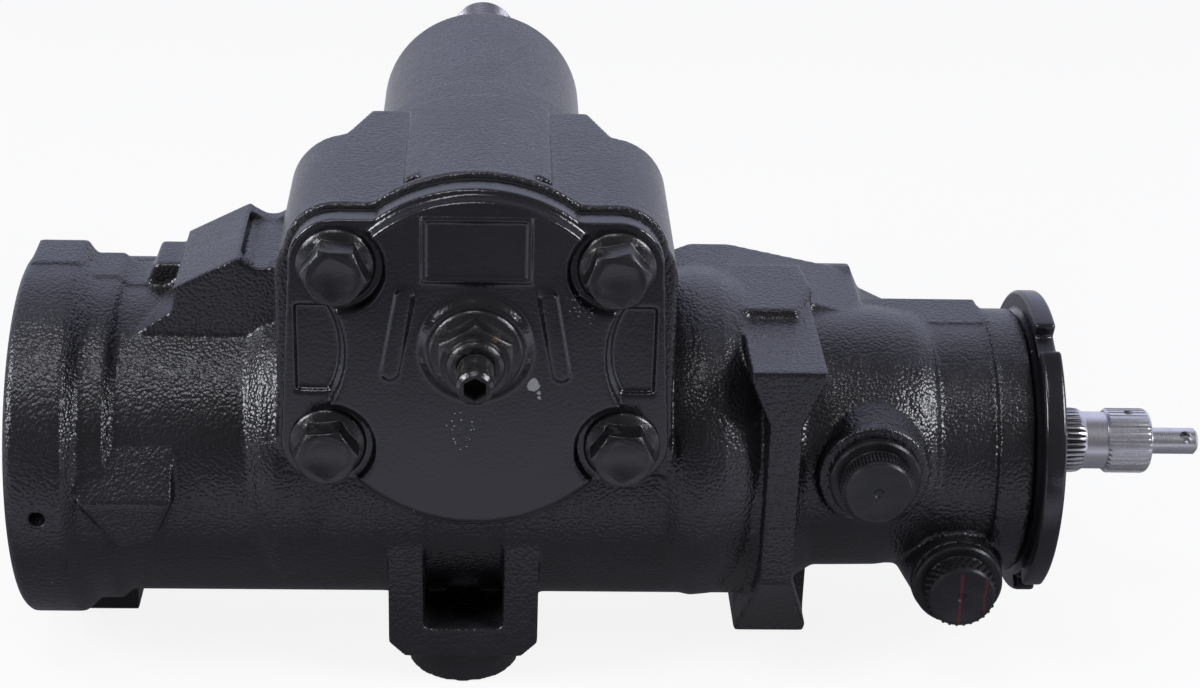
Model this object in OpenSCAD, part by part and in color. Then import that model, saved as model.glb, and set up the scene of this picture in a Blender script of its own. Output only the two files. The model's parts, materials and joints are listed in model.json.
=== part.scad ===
// Recirculating-ball power steering gear with its rotary valve, rack piston and sector shaft

/* [Placement] */
// height of worm axis above mounting pads
worm_h = 58; // [54:0.5:64]
// distance of worm axis behind middle mounting hole
worm_y = 26; // [22:0.5:30]
// distance of sector axis beyond middle mounting hole
sector_x = 3; // [0:0.5:6]

/* [Gear train] */
// turns of worm for one turn of sector
gear_ratio = 14; // [12:0.5:16]
// axial travel of rack for one turn of worm
worm_lead = 10.4; // [9:0.1:11]
// largest turn of sector to each side
sector_max = 42; // [36:1:44]
// distance between worm axis and sector axis
centre_distance = 55.5; // [54:0.5:58]
// whole number of teeth that would fill sector
sector_divisions = 9; // [9:1:9]
// slope of tooth flanks
pressure_angle = 27; // [25:0.5:28]
// tooth height above pitch line
addendum = 4.4; // [3.6:0.1:4.6]
// room between a tooth tip and opposite root
root_gap = 0.8; // [0.5:0.1:1.2]
// play between teeth along pitch line
backlash = 0.4; // [0.3:0.05:0.8]
// face of sector on cover side
sector_front = -24; // [-26:0.5:-22]
// face of sector on tower side
sector_back = 20; // [18:0.5:22]
// number of straight steps along one tooth flank
flank_steps = 7; // [5:1:12]

/* [Clearances] */
// radial play of a running fit
run_fit = 0.06; // [0.03:0.01:0.1]
// play of a piece that is seated and does not turn
seat_fit = 0.05; // [0.02:0.01:0.08]
// open room between moving pieces that do not touch
free_gap = 0.6; // [0.4:0.1:1]
// small step between two fitted diameters
thin_step = 0.5; // [0.4:0.1:0.6]
// extra length of a cutting shape
over = 1; // [0.5:0.5:2]

/* [Cylinder] */
// rack piston bore radius
bore_r = 40; // [38:0.5:42]
// cast barrel wall
barrel_wall = 5.5; // [5:0.5:8]
// left end of casting
left_end = -127; // [-132:0.5:-124]
// end of thick collar
collar_right = -111.5; // [-113:0.5:-110]
// end of second collar step
band_right = -101; // [-103:0.5:-99]
// height of second collar step above barrel
band_rise = 2.5; // [2:0.5:4]
// height of thick collar above barrel
collar_rise = 6.5; // [5:0.5:8]
// collar edge bevel
collar_bevel = 1.6; // [0.5:0.1:3]
// extra radius of end plug bore
plug_bore_step = 2.5; // [2:0.25:3]
// inner face of end plug
plug_seat = -104; // [-106:0.5:-102]
// end plug thickness
plug_thick = 13; // [11:0.5:14]
// width of retaining ring of end plug
end_ring_w = 2.4; // [2:0.1:3]
// retaining ring groove depth
end_ring_depth = 2; // [1.5:0.1:2.5]
// push-out hole radius
push_hole_r = 2.2; // [1.5:0.1:3]
// O-rings thickness
o_ring_d = 3; // [2:0.1:3.5]
// right end of rack piston bore
cyl_end = 66; // [64:0.5:68]
// right end of full barrel
barrel_right = 84; // [80:0.5:88]
// length of cone between barrel and valve case
cone_len = 15; // [12:0.5:18]

/* [Rack piston] */
// free end room of rack piston at full turn
end_room = 1.5; // [1:0.5:3]
// rack piston length
rack_len = 124; // [118:1:128]
// half length of toothed flat
rack_half = 30; // [29:0.5:32]
// piston ring width
piston_ring_w = 4; // [3:0.5:5]
// piston ring groove depth
piston_ring_depth = 4; // [3:0.5:5]
// distance of piston ring from end of rack piston
piston_ring_inset = 7; // [6:0.5:10]
// radius of threaded plug in rack piston
rack_plug_r = 20; // [19:0.5:22]
// length of threaded plug in rack piston
rack_plug_len = 12; // [10:0.5:14]
// square drive of threaded plug
rack_plug_drive = 12.7; // [10:0.1:14]

/* [Ball circuit] */
// ball radius
ball_r = 3.5; // [3.2:0.05:3.6]
// radius of ring of ball centres
ball_circle = 13.9; // [13.5:0.1:14.5]
// angle between two balls
ball_step = 30; // [30:1:36]
// full turns of ball circuit
ball_turns = 2; // [2:1:2]
// angle at which circuit begins and ends
ball_start = -450; // [-450:360:-90]
// return guide wall
guide_wall = 0.8; // [0.6:0.1:1]
// distance of guide bridge from worm axis
guide_drop = 27; // [26.5:0.5:28]
// metal between ball bore and guide flat
guide_flat_wall = 5; // [4.5:0.25:6]
// guide clamp thickness
clamp_thick = 2.2; // [1.5:0.1:3]
// guide clamp width
clamp_w = 10; // [8:0.5:11]
// half span of guide clamp
clamp_half = 17; // [16:0.5:18]
// distance of clamp screws from middle
clamp_screw_y = 11.5; // [11:0.25:12]
// clamp screw shank radius
clamp_screw_r = 2; // [1.5:0.1:2.5]
// clamp screw head height
clamp_head_h = 3; // [2:0.5:4]

/* [Worm] */
// outer radius of worm
worm_r = 13.4; // [13:0.1:13.6]
// plain worm shank radius
worm_shank_r = 13.8; // [13.7:0.1:14]
// left end of worm
worm_left = -44; // [-46:0.5:-42]
// right end of ball groove
groove_right = 46; // [44:0.5:48]
// extra radius of ball groove
groove_play = 0.35; // [0.25:0.05:0.5]
// steps of groove around worm
groove_turn_steps = 24; // [20:4:32]
// steps of groove for one lead
groove_lead_steps = 8; // [8:1:10]
// wall between cylinder and thrust bearing
thrust_wall = 4; // [3:0.5:5]
// thrust race thickness
race_t = 1.5; // [1.2:0.1:2]
// thrust roller radius
roller_r = 1.4; // [1.2:0.1:1.6]
// number of thrust rollers
roller_count = 16; // [12:1:20]
// outer radius of lower thrust bearing
lower_race_r = 21; // [20:0.5:22]
// inner radius of lower thrust bearing
lower_race_in = 14.5; // [14.2:0.1:15]
// worm flange thickness
worm_flange_t = 4; // [3.5:0.25:5]
// length of worm head in valve body
worm_head_len = 13; // [12:0.5:14]
// depth of slot in worm head
head_slot_depth = 9; // [8:0.5:10]
// play of input shaft in worm head slot to each side
twist_max = 6; // [4:0.5:7]
// place of first ring on valve body, as a share of its length
ring_share = 0.16; // [0.14:0.01:0.18]
// distance between two rings, as a share of valve length
ring_pitch = 0.3; // [0.29:0.01:0.31]
// distance from a ring to its groove, as a share of valve length
groove_share = 0.1; // [0.09:0.01:0.11]
// drive pins radius
drive_pin_r = 1.6; // [1.3:0.1:2]

/* [Rotary valve] */
// outer radius of valve body bore
valve_bore_r = 26; // [25:0.5:27]
// valve body length
valve_len = 51; // [48:0.5:53]
// outer radius of spool
spool_r = 17; // [16.5:0.25:17.5]
// spool length
spool_len = 30; // [28:0.5:32]
// oil grooves depth
oil_groove_depth = 1.6; // [1:0.1:2]
// oil grooves width
oil_groove_w = 6; // [5:0.5:7]
// valve ring width
valve_ring_w = 2.2; // [1.8:0.1:2.6]
// valve ring thickness
valve_ring_t = 1.8; // [1.4:0.1:2.2]
// radius of oil holes in sleeve
oil_hole_r = 2; // [1.5:0.1:2.4]
// number of oil slots in spool
spool_slots = 6; // [4:1:8]

/* [Valve case] */
// outer radius of valve case
case_r = 36.5; // [35.5:0.25:38]
// right end of valve case
case_right = 156; // [154:0.5:158]
// length of rim at end of valve case
case_rim_len = 10; // [8:0.5:12]
// height of rim at end of valve case
case_rim_rise = 2; // [1:0.25:3]
// adjuster plug thread radius
adjuster_r = 31; // [30:0.25:32]
// length of adjuster plug beyond valve case
adjuster_out = 10; // [9.5:0.5:12]
// outer radius of lock ring
lock_ring_r = 44; // [42:0.5:46]
// lock ring thickness
lock_ring_t = 6; // [5:0.5:7]
// offset of dished lock ring rim
lock_ring_dish = 1.6; // [1:0.1:2]
// number of spanner notches in lock ring
lock_notches = 3; // [2:1:6]
// turn of first lock ring notch from top
lock_turn = 21; // [15:1:35]
// spanner notch width
lock_notch_w = 9; // [6:0.5:12]
// spanner notch depth
lock_notch_depth = 4.5; // [3:0.5:6]

/* [Input shaft] */
// radius of input shaft in its bearing
stub_r = 11; // [10.5:0.25:11.5]
// wall of needle bearing in adjuster plug
stub_bearing_t = 4; // [3.5:0.25:4.5]
// length of needle bearing in adjuster plug
stub_bearing_len = 12; // [10:0.5:13]
// input shaft seal width
stub_seal_w = 6; // [5:0.5:7]
// dust seal width
dust_seal_w = 3.5; // [3:0.25:4]
// small retaining ring thickness
stub_ring_t = 1.4; // [1.2:0.1:1.8]
// start of inner serration band
band_start = 171; // [170:0.5:173]
// end of inner serration band
band_end = 178; // [177:0.5:179]
// start of input serration
spline_start = 184.4; // [183:0.2:186]
// end of input serration
spline_end = 197.5; // [197:0.1:200]
// outer radius of input serration
spline_r = 9.525; // [9:0.025:10]
// number of serrations
spline_teeth = 36; // [30:1:40]
// share of one serration taken by its land
serration_land = 0.2; // [0.15:0.01:0.25]
// share of one serration taken by each of its sides
serration_side = 0.3; // [0.25:0.01:0.35]
// serrations depth
spline_depth = 0.8; // [0.5:0.05:1]
// number of serrations left out for smooth flat
spline_blank = 7; // [4:1:9]
// radius of neck between serrations
stub_neck_r = 8.4; // [8:0.1:8.6]
// pilot nose radius
nose_r = 3.85; // [3.6:0.05:4.2]
// end of pilot nose
nose_end = 212.3; // [210:0.1:214]
// torsion bar radius
torsion_r = 3.4; // [3:0.1:3.6]
// torsion bar ends radius
torsion_end_r = 4.4; // [4.2:0.1:4.6]
// radius of cross pin and of cross hole in nose
cross_pin_r = 1.3; // [1:0.1:1.6]
// tilt of hole through nose
nose_turn = 45; // [30:5:60]
// distance of cross pin from end of serration
cross_pin_inset = 6.5; // [5.5:0.25:7.5]

/* [Sector shaft] */
// sector shaft journals radius
sector_r = 15.9; // [15.5:0.1:16.2]
// end of tower
tower_end = 127; // [124:0.5:130]
// tower radius
tower_r = 31.5; // [30:0.25:33]
// tower root radius
tower_root_r = 36; // [35:0.25:38]
// end of tower root
tower_root_end = 50; // [46:0.5:54]
// tower end bevel
tower_bevel = 1.5; // [1:0.25:3]
// sector chamber radius
chamber_r = 31; // [29.5:0.25:32]
// back of sector chamber
chamber_back = 22; // [21:0.5:24]
// start of sector needle bearing
needle_start = 30; // [28:0.5:34]
// sector needle bearing length
needle_len = 34; // [30:0.5:38]
// needle radius
needle_r = 1.3; // [1.1:0.1:1.5]
// number of needles
needle_count = 24; // [18:1:28]
// needle bearing shell wall
needle_shell_t = 1.4; // [1.2:0.1:2]
// start of seal bore in tower
seal_start = 95; // [92:0.5:98]
// radius of seal bore in tower
seal_r = 22.5; // [22:0.25:24]
// sector shaft seal width
sector_seal_w = 7; // [6:0.5:8]
// seal washer thickness
washer_t = 1.6; // [1.2:0.1:2]
// seal retaining ring groove depth
seal_ring_depth = 1.5; // [1:0.1:2]
// output serration radius
output_r = 15.2; // [14.8:0.1:15.6]
// start of output serration
output_start = 131; // [129:0.5:134]
// end of output serration
output_end = 166; // [162:0.5:170]
// output serrations depth
output_depth = 1; // [0.6:0.1:1.2]
// threaded shaft end radius
shaft_end_r = 11.1; // [10.5:0.1:11.5]
// end of threaded shaft end
shaft_end = 201; // [198:0.5:204]
// radius of undercut beside output serration
output_neck_r = 10.4; // [10:0.1:10.8]
// length of undercut beside output serration
output_neck_len = 3; // [2:0.5:4]

/* [Side cover] */
// mating plane of side cover
cover_plane = -46; // [-48:0.5:-46]
// cover gasket thickness
gasket_t = 0.8; // [0.5:0.1:1.2]
// cover flange thickness
cover_t = 6.6; // [6:0.1:8]
// radius of upper arch of cover
cover_top_r = 43.5; // [43:0.5:44]
// radius of lower round of cover
cover_low_r = 46; // [45:0.5:48]
// drop of lower round below sector axis
cover_low_drop = 9; // [8:0.5:12]
// half distance of upper cover bolts
bolt_top_x = 36.2; // [35:0.1:38]
// half distance of lower cover bolts
bolt_low_x = 39.2; // [38:0.1:40]
// rise of upper cover bolts above sector axis
bolt_top_z = 22; // [20:0.5:24]
// drop of lower cover bolts below sector axis
bolt_low_z = 30; // [28:0.5:31]
// cover ears radius
ear_r = 12.5; // [12:0.25:14]
// margin of casting around cover
flange_margin = 1.6; // [1:0.1:2.5]
// cover flange depth
flange_depth = 3; // [2:0.5:6]
// cover bolt shank radius
bolt_r = 4.7; // [4.5:0.05:5]
// play of a bolt in cover
bolt_play = 0.5; // [0.4:0.05:0.8]
// depth of a bolt in casting
bolt_depth = 9; // [8:0.25:9.5]
// bolt flange radius
bolt_flange_r = 10.3; // [9.5:0.1:11]
// bolt flange thickness
bolt_flange_t = 2; // [1.5:0.1:3]
// width across flats of bolt head
bolt_hex = 15; // [14:0.5:16]
// height of bolt head above its flange
bolt_head_h = 7.5; // [6:0.5:9]
// margin of raised body inside cover outline
dome_inset = 1.2; // [0.8:0.1:2]
// height of raised body of cover
dome_h = 3; // [2:0.1:4]
// radius of round cuts beside bolt heads
scallop_r = 12.6; // [12:0.1:14]
// radius of concave side cuts of cover
side_cut_r = 28; // [26:0.5:30]
// distance of concave side cuts from middle
side_cut_x = 62; // [60:0.5:64]
// width of thin rim beside concave side cuts
side_rim = 1.5; // [1:0.1:2]
// depth of concave side cuts in flange
side_cut_depth = 1.5; // [1:0.1:2]
// width of bare plate of cover
plate_w = 28; // [24:0.5:30]
// height of bare plate of cover
plate_h = 18; // [16:0.5:20]
// rise of bare plate above sector axis
plate_z = 19; // [17:0.5:21]
// edge ridge of bare plate
plate_edge = 0.9; // [0.6:0.1:1.4]
// length of slanted ribs of cover
rib_len = 22; // [18:0.5:26]
// width of slanted ribs of cover
rib_w = 4.4; // [3:0.2:5]
// distance of slanted ribs from middle
rib_x = 20.5; // [19:0.5:23]
// slant of ribs
rib_slant = 10; // [5:1:15]
// rise of ribs above sector axis
rib_z = 3.8; // [2:0.2:5]
// outer radius of bushing boss inside cover
bush_boss_r = 24; // [23:0.5:25]
// cover bushing wall
bush_t = 2.5; // [2:0.25:3]
// distance of bushing boss from sector
bush_gap = 2; // [1.5:0.25:3]
// depth of adjuster pocket in cover
pocket_depth = 1.2; // [1:0.1:2]
// radius of outer boss of cover
lash_boss_r = 13.5; // [13:0.25:15]
// height of outer boss of cover
lash_boss_h = 2; // [1:0.25:3]
// lash adjuster screw radius
lash_r = 4.8; // [4.5:0.1:5]
// lash adjuster head radius
lash_head_r = 8; // [7.5:0.1:8.5]
// lash adjuster head height
lash_head_h = 5; // [4:0.25:6]
// lash adjuster retainer thickness
lash_keep_t = 3; // [2.5:0.25:4]
// length of lash adjuster beyond lock nut
lash_out = 11; // [9:0.5:13]
// width of hex socket in lash adjuster
lash_socket = 5.6; // [5:0.1:6.5]
// depth of hex socket in lash adjuster
lash_socket_depth = 7; // [5:0.5:9]
// lock nut washer face radius
nut_face_r = 12.3; // [12:0.1:13]
// lock nut washer face thickness
nut_face_t = 1.6; // [1.2:0.1:2.5]
// width across flats of lock nut
nut_hex = 19; // [17:0.5:20]
// lock nut height
nut_h = 6.5; // [5.5:0.5:8]
// lock nut crown radius
nut_crown_r = 7.4; // [7:0.1:8]
// lock nut crown height
nut_crown_h = 2.5; // [2:0.25:4]

/* [Sector box] */
// half width of sector box
box_half = 53; // [52:0.5:56]
// top of sector box above worm axis
box_top = 87; // [85:0.5:89]
// back of sector box
box_back = 16; // [14:0.5:18]
// rounding of upper box corners
box_round = 17; // [14:0.5:19]
// height of box foot above worm axis
box_foot = 12; // [10:0.5:16]
// half width of shoulder behind box
shoulder_half = 37.5; // [36:0.5:39]
// half width of shoulder at tower
shoulder_end_half = 31; // [29:0.5:33]
// back of shoulder
shoulder_back = 35; // [32:0.5:38]
// radius of raised pad on top of box
bump_r = 44; // [43:0.5:46]
// half width of raised pad on top of box
bump_half = 19.5; // [18:0.5:21]
// front corner pockets of raised pad
bump_pocket = 5; // [3:0.5:6]

/* [Mounting] */
// tapped mounting holes radius
mount_r = 5.5; // [5:0.1:6]
// half width of middle lug
lug_half = 21; // [19:0.5:23]
// middle lug thickness
lug_t = 19; // [17:0.5:21]
// height of round foot below middle lug
foot_h = 9.5; // [8:0.5:11]
// radius of round foot below middle lug
foot_r = 16; // [15:0.5:17]
// thickness of two cheeks of middle lug
cheek_t = 10; // [8:0.5:12]
// middle lug bevel
lug_bevel = 5; // [4:0.5:7]
// front of middle lug
lug_front = -44; // [-45:0.5:-43]
// left side of left lug
left_lug_a = -121; // [-123:0.5:-119]
// right side of left lug
left_lug_b = -100; // [-101:0.5:-98]
// front of left lug
left_lug_front = -5; // [-8:0.5:-2]
// back of rear pads
pad_back = 36; // [32:0.5:40]
// left side of leg foot
leg_a = 73.5; // [73:0.5:76]
// right side of leg foot
leg_b = 94.5; // [94:0.5:98]
// leg web thickness
leg_web = 9; // [8:0.5:11]
// front of leg web
leg_front = -48; // [-50:0.5:-47]
// front of leg foot
leg_foot_front = -14; // [-18:0.5:-12]
// leg foot height
leg_foot_t = 4; // [3:0.5:6]
// shift of leg foot towards input end
leg_shift = 3.5; // [2:0.5:5]
// height at which leg turns under barrel
leg_knee = -20; // [-24:0.5:-18]
// height of flares between leg web and its ends
leg_flare = 14; // [10:0.5:16]
// top of leg above worm axis
leg_top = 45; // [44:0.5:47]
// leg head thickness
leg_head_t = 2.5; // [2:0.25:4]
// distance of rear mounting holes behind worm axis
rear_hole_y = 22; // [18:0.5:24]

/* [Passage and bosses] */
// distance of oil passage behind worm axis
passage_y = 34; // [33:0.5:36]
// height of oil passage above worm axis
passage_z = 31; // [30:0.5:33]
// oil passage bore radius
passage_r = 3; // [2.5:0.25:3.25]
// passage boss radius
passage_boss_r = 9; // [8.5:0.25:10]
// left end of passage boss
passage_left = -88; // [-90:0.5:-84]
// right end of passage boss
passage_right = 111; // [108:0.5:112]
// length of small end boss of passage
end_boss_len = 18; // [14:0.5:20]
// radius of small end boss of passage
end_boss_r = 8.5; // [7.5:0.25:9.5]
// front of left gusset
gusset_front = -20.5; // [-22:0.5:-18]
// back of left gusset
gusset_back = 19.5; // [18.5:0.5:22]
// left end of left gusset
gusset_left = -83; // [-85:0.5:-81]
// right end of left gusset
gusset_right = -64.5; // [-66:0.5:-62]
// height of left gusset at its low end
gusset_low = 55; // [53:0.5:57]
// height of left gusset at its high end
gusset_high = 64.5; // [62:0.5:66]
// front of parting strip on collar
strip_front = 1.5; // [0:0.5:3]
// back of parting strip on collar
strip_back = 18; // [16:0.5:20]
// parting strip rise
strip_rise = 0.6; // [0.4:0.1:1]
// front of shoulder between box and leg
ledge_front = -19; // [-22:0.5:-16]
// height of shoulder between box and leg
ledge_top = 43.5; // [42:0.5:45]
// front of rib behind leg
rib_front = 7; // [4:0.5:9]
// back of rib behind leg
rib_back = 34; // [32:0.5:36]
// crest height of rib behind leg
rib_crest = 47; // [46:0.5:48]
// drop of rib towards valve case
rib_fall = 8; // [6:0.5:10]
// front of low slope over valve case
slope_front = 1.5; // [0:0.5:3]
// front of raised pad on leg
pad_front = -14; // [-16:0.5:-12]
// rise of raised pad on leg
pad_rise = 2.7; // [2:0.1:3.5]
// left side of front boss
front_boss_a = -110; // [-112:0.5:-108]
// right side of front boss
front_boss_b = -82; // [-84:0.5:-80]
// upper edge of front boss
front_boss_top = 17; // [15:0.5:19]
// lower edge of front boss
front_boss_low = -10.5; // [-12:0.5:-9]
// front boss ridge height
front_boss_ridge = 4.5; // [2:0.5:6]
// front boss reach
front_boss_out = 51; // [49:0.5:53]
// slope of front boss faces
front_boss_slope = 2.5; // [2:0.25:4]

/* [Ports] */
// position of pressure port along worm axis
pressure_x = 110; // [108:0.5:112]
// height of pressure port above worm axis
pressure_z = 10.5; // [9:0.5:12]
// face of pressure port boss
pressure_face = -43; // [-45:0.5:-42]
// pressure port boss radius
pressure_boss_r = 15.5; // [15:0.25:16.5]
// position of return port along worm axis
return_x = 137; // [136:0.5:138]
// height of return port above worm axis
return_z = -25; // [-26:0.5:-24]
// face of return port boss
return_face = -39; // [-41:0.5:-38]
// return port boss radius
return_boss_r = 13.2; // [13:0.1:14]
// port bores radius
port_r = 8.5; // [8:0.1:8.8]
// port bores depth
port_depth = 11; // [10:0.25:11.5]
// distance of boss flares from port faces
port_root = 5; // [4:0.5:6]
// port seats radius
seat_r = 4.6; // [4.2:0.1:5]
// port seats length
seat_len = 5; // [4:0.5:6]
// drilled oil ways radius
oil_way_r = 2.4; // [2:0.1:2.6]
// sideways shift of return oil way
return_shift = 6; // [5:0.25:6.5]
// plug flanges radius
plug_flange_r = 12.6; // [12:0.1:13]
// plug flanges thickness
plug_flange_t = 2.4; // [2:0.1:3]
// plug caps radius
plug_cap_r = 9.6; // [9:0.1:10.5]
// plug caps height
plug_cap_h = 6.5; // [5:0.5:8]
// plug stems length
plug_stem = 7; // [5:0.5:8]

/* [Hidden] */
// fineness of the round shapes
$fn = 72;
barrel_r = bore_r + barrel_wall;
collar_r = barrel_r + collar_rise;
band_r = barrel_r + band_rise;
plug_bore_r = bore_r + plug_bore_step;
plug_out = plug_seat - plug_thick;
end_ring_out = plug_out - end_ring_w;
plug_r = plug_bore_r - seat_fit;
pitch_r = gear_ratio * worm_lead / (2 * PI);
rack_pitch = 2 * PI * pitch_r / sector_divisions;
base_r = pitch_r * cos(pressure_angle);
tip_r = pitch_r + addendum;
root_r = pitch_r - addendum - root_gap;
pitch_z = centre_distance - pitch_r;
rack_tip = pitch_z + addendum;
rack_root = pitch_z - addendum - root_gap;
half_tooth = (rack_pitch / 2 - backlash) / (2 * pitch_r) * 180 / PI;
rack_travel = pitch_r * sector_max * PI / 180;
rack_r = bore_r - run_fit - seat_fit;
rack_right = cyl_end - rack_travel - end_room;
rack_left = rack_right - rack_len;
ring_a = rack_left + piston_ring_inset;
ring_b = ring_a + piston_ring_w;
nut_r = ball_circle + ball_r + seat_fit;
guide_r = ball_r + seat_fit + guide_wall;
guide_flat = nut_r + guide_flat_wall;
clamp_out = guide_drop + guide_r + seat_fit + clamp_thick;
lower_seat = cyl_end + thrust_wall;
bearing_t = 2 * race_t + 2 * roller_r + 2 * run_fit;
flange_left = lower_seat + bearing_t;
flange_right = flange_left + worm_flange_t;
valve_left = flange_right + free_gap;
valve_right = valve_left + valve_len;
head_right = flange_right + worm_head_len;
spool_left = head_right + free_gap;
spool_right = spool_left + spool_len;
adjuster_left = valve_right + bearing_t;
adjuster_right = case_right + adjuster_out;
valve_r = valve_bore_r - run_fit;
sleeve_r = spool_r + run_fit;
spool_in = stub_r - thin_step;
spool_seat_r = spool_in - seat_fit;
stub_left = head_right - head_slot_depth + free_gap;
torsion_bore = torsion_end_r + seat_fit;
torsion_left = flange_left - head_slot_depth + over;
cross_pin_x = spline_end - cross_pin_inset;
torsion_right = spline_end - over;
stub_bearing_r = stub_r + stub_bearing_t;
stub_seal_x = adjuster_left + stub_bearing_len;
dust_seal_x = stub_seal_x + stub_seal_w + seat_fit;
stub_ring_x = dust_seal_x + dust_seal_w + seat_fit;
needle_bore = sector_r + run_fit + 2 * needle_r + run_fit + needle_shell_t;
cover_in = cover_plane - gasket_t;
flange_back = cover_plane + flange_depth;
cover_out = cover_in - cover_t;
dome_out = cover_out - dome_h;
boss_out = dome_out - lash_boss_h;
bush_end = sector_front - bush_gap;
bush_bore = sector_r + run_fit + bush_t;
sector_end = cover_in + pocket_depth;
keep_r = lash_head_r + free_gap + thin_step;
keep_in = sector_end + lash_keep_t;
lash_head_out = keep_in + run_fit;
lash_head_in = lash_head_out + lash_head_h;
nut_out = boss_out - nut_face_t - nut_h - nut_crown_h;
lash_end = nut_out - lash_out;
// places of the cover bolts
bolt_places = [
  [-bolt_top_x, bolt_top_z],
  [bolt_top_x, bolt_top_z],
  [-bolt_low_x, -bolt_low_z],
  [bolt_low_x, -bolt_low_z]
];
lug_low = foot_h - worm_h;
lug_high = lug_t - worm_h;

// moves a piece from the worm axis to its place over the mounting pads
module at_worm() {
  translate([sector_x, worm_y, worm_h])
    children();
}

// round bar along the worm axis
module rod_x(a, b, r) {
  translate([a, 0, 0])
    rotate([0, 90, 0])
      cylinder(h = b - a, r = r);
}

// cone along the worm axis
module cone_x(a, b, ra, rb) {
  translate([a, 0, 0])
    rotate([0, 90, 0])
      cylinder(h = b - a, r1 = ra, r2 = rb);
}

// ring along the worm axis
module tube_x(a, b, outer, inner) {
  difference() {
    rod_x(a, b, outer);
    rod_x(a - over, b + over, inner);
  }
}

// round bar along the sector axis direction
module rod_y(a, b, r) {
  translate([0, a, 0])
    rotate([-90, 0, 0])
      cylinder(h = b - a, r = r);
}

// cone along the sector axis direction
module cone_y(a, b, ra, rb) {
  translate([0, a, 0])
    rotate([-90, 0, 0])
      cylinder(h = b - a, r1 = ra, r2 = rb);
}

// ring along the sector axis direction
module tube_y(a, b, outer, inner) {
  difference() {
    rod_y(a, b, outer);
    rod_y(a - over, b + over, inner);
  }
}

// upright round bar
module rod_z(a, b, r) {
  translate([0, 0, a])
    cylinder(h = b - a, r = r);
}

// box given by its two corners
module block(low, high) {
  translate(low)
    cube(high - low);
}

// six-sided bar along the sector axis direction
module hex_y(a, b, flats) {
  translate([0, a, 0])
    rotate([-90, 0, 0])
      cylinder(h = b - a, r = flats / sqrt(3), $fn = 6);
}

// flat outline in the plane across the sector axis, from a to b
module plate_y(a, b) {
  translate([0, b, 0])
    rotate([90, 0, 0])
      linear_extrude(height = b - a)
        children();
}

// flat outline in the plane across the worm axis, from a to b
module plate_x(a, b) {
  translate([a, 0, 0])
    rotate([90, 0, 90])
      linear_extrude(height = b - a)
        children();
}

// moves a piece to the sector axis
module at_sector() {
  translate([0, 0, centre_distance])
    children();
}

// serrated outline with some teeth left out around the top
function serration(r, depth, teeth) = [
  for (i = [0 : teeth - 1])
    let (land = serration_land / 2)
    let (foot = land + serration_side)
    for (p = [[-foot, r - depth], [-land, r], [land, r], [foot, r - depth]])
      let (a = (i + p[0]) * 360 / teeth)
      p[1] * [cos(a), sin(a)]
];

// angle swept by an involute
function involute(a) = tan(a) * 180 / PI - a;

// half angle of a sector tooth at a radius
function tooth_half(r) = half_tooth + involute(pressure_angle) - involute(acos(min(1, base_r / r)));

// one point of the sector outline, with the angle counted from the rack
function sector_point(r, a) = [r * sin(a), -r * cos(a)];

// outline of one sector tooth around the angle c
function sector_tooth(c) = concat(
  [sector_point(root_r - over, c - tooth_half(base_r))],
  [for (i = [0 : flank_steps]) let (r = base_r + (tip_r - base_r) * i / flank_steps)
    sector_point(r, c - tooth_half(r))],
  [for (i = [flank_steps : -1 : 0]) let (r = base_r + (tip_r - base_r) * i / flank_steps)
    sector_point(r, c + tooth_half(r))],
  [sector_point(root_r - over, c + tooth_half(base_r))]
);

// outline of one rack space around its middle line
function rack_space() = [
  [-rack_pitch / 4 - backlash / 2 - (addendum + over) * tan(pressure_angle), rack_tip + over],
  [-rack_pitch / 4 - backlash / 2 + (addendum + root_gap) * tan(pressure_angle), rack_root],
  [rack_pitch / 4 + backlash / 2 - (addendum + root_gap) * tan(pressure_angle), rack_root],
  [rack_pitch / 4 + backlash / 2 + (addendum + over) * tan(pressure_angle), rack_tip + over]
];

// distance of a place on the worm from the nearest groove middle
function groove_off(x, a) =
  let (d = x - worm_lead * a / 360 + worm_lead / 2)
  abs(d - worm_lead * floor(d / worm_lead) - worm_lead / 2);

// radius of the grooved worm at a place
function groove_radius(x, a) =
  let (d = groove_off(x, a))
  let (g = ball_r + groove_play)
  min(worm_r, d < g ? ball_circle - sqrt(g * g - d * d) : worm_r);

// outline of the side cover, grown by a margin
module cover_outline(grow) {
  circle(r = cover_top_r + grow);
  translate([0, -cover_low_drop])
    circle(r = cover_low_r + grow);
  for (p = bolt_places)
    translate(p)
      circle(r = ear_r + grow);
  polygon([
    [-bolt_top_x - ear_r - grow, bolt_top_z],
    [-bolt_low_x - ear_r - grow, -bolt_low_z],
    [bolt_low_x + ear_r + grow, -bolt_low_z],
    [bolt_top_x + ear_r + grow, bolt_top_z]
  ]);
  translate([-bolt_top_x, 0])
    square([2 * bolt_top_x, bolt_top_z + ear_r + grow]);
}

// barrel, collar and end of the cylinder
module barrel_shell() {
  rod_x(band_right - over, barrel_right, barrel_r);
  rod_x(collar_right - over, band_right, band_r);
  rod_x(left_end + collar_bevel, collar_right, collar_r);
  cone_x(left_end, left_end + collar_bevel, collar_r - collar_bevel, collar_r);
  cone_x(collar_right, collar_right + collar_rise - band_rise, collar_r, band_r);
  cone_x(band_right, band_right + band_rise, band_r, barrel_r);
  cone_x(barrel_right, barrel_right + cone_len, barrel_r, case_r);
}

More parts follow.
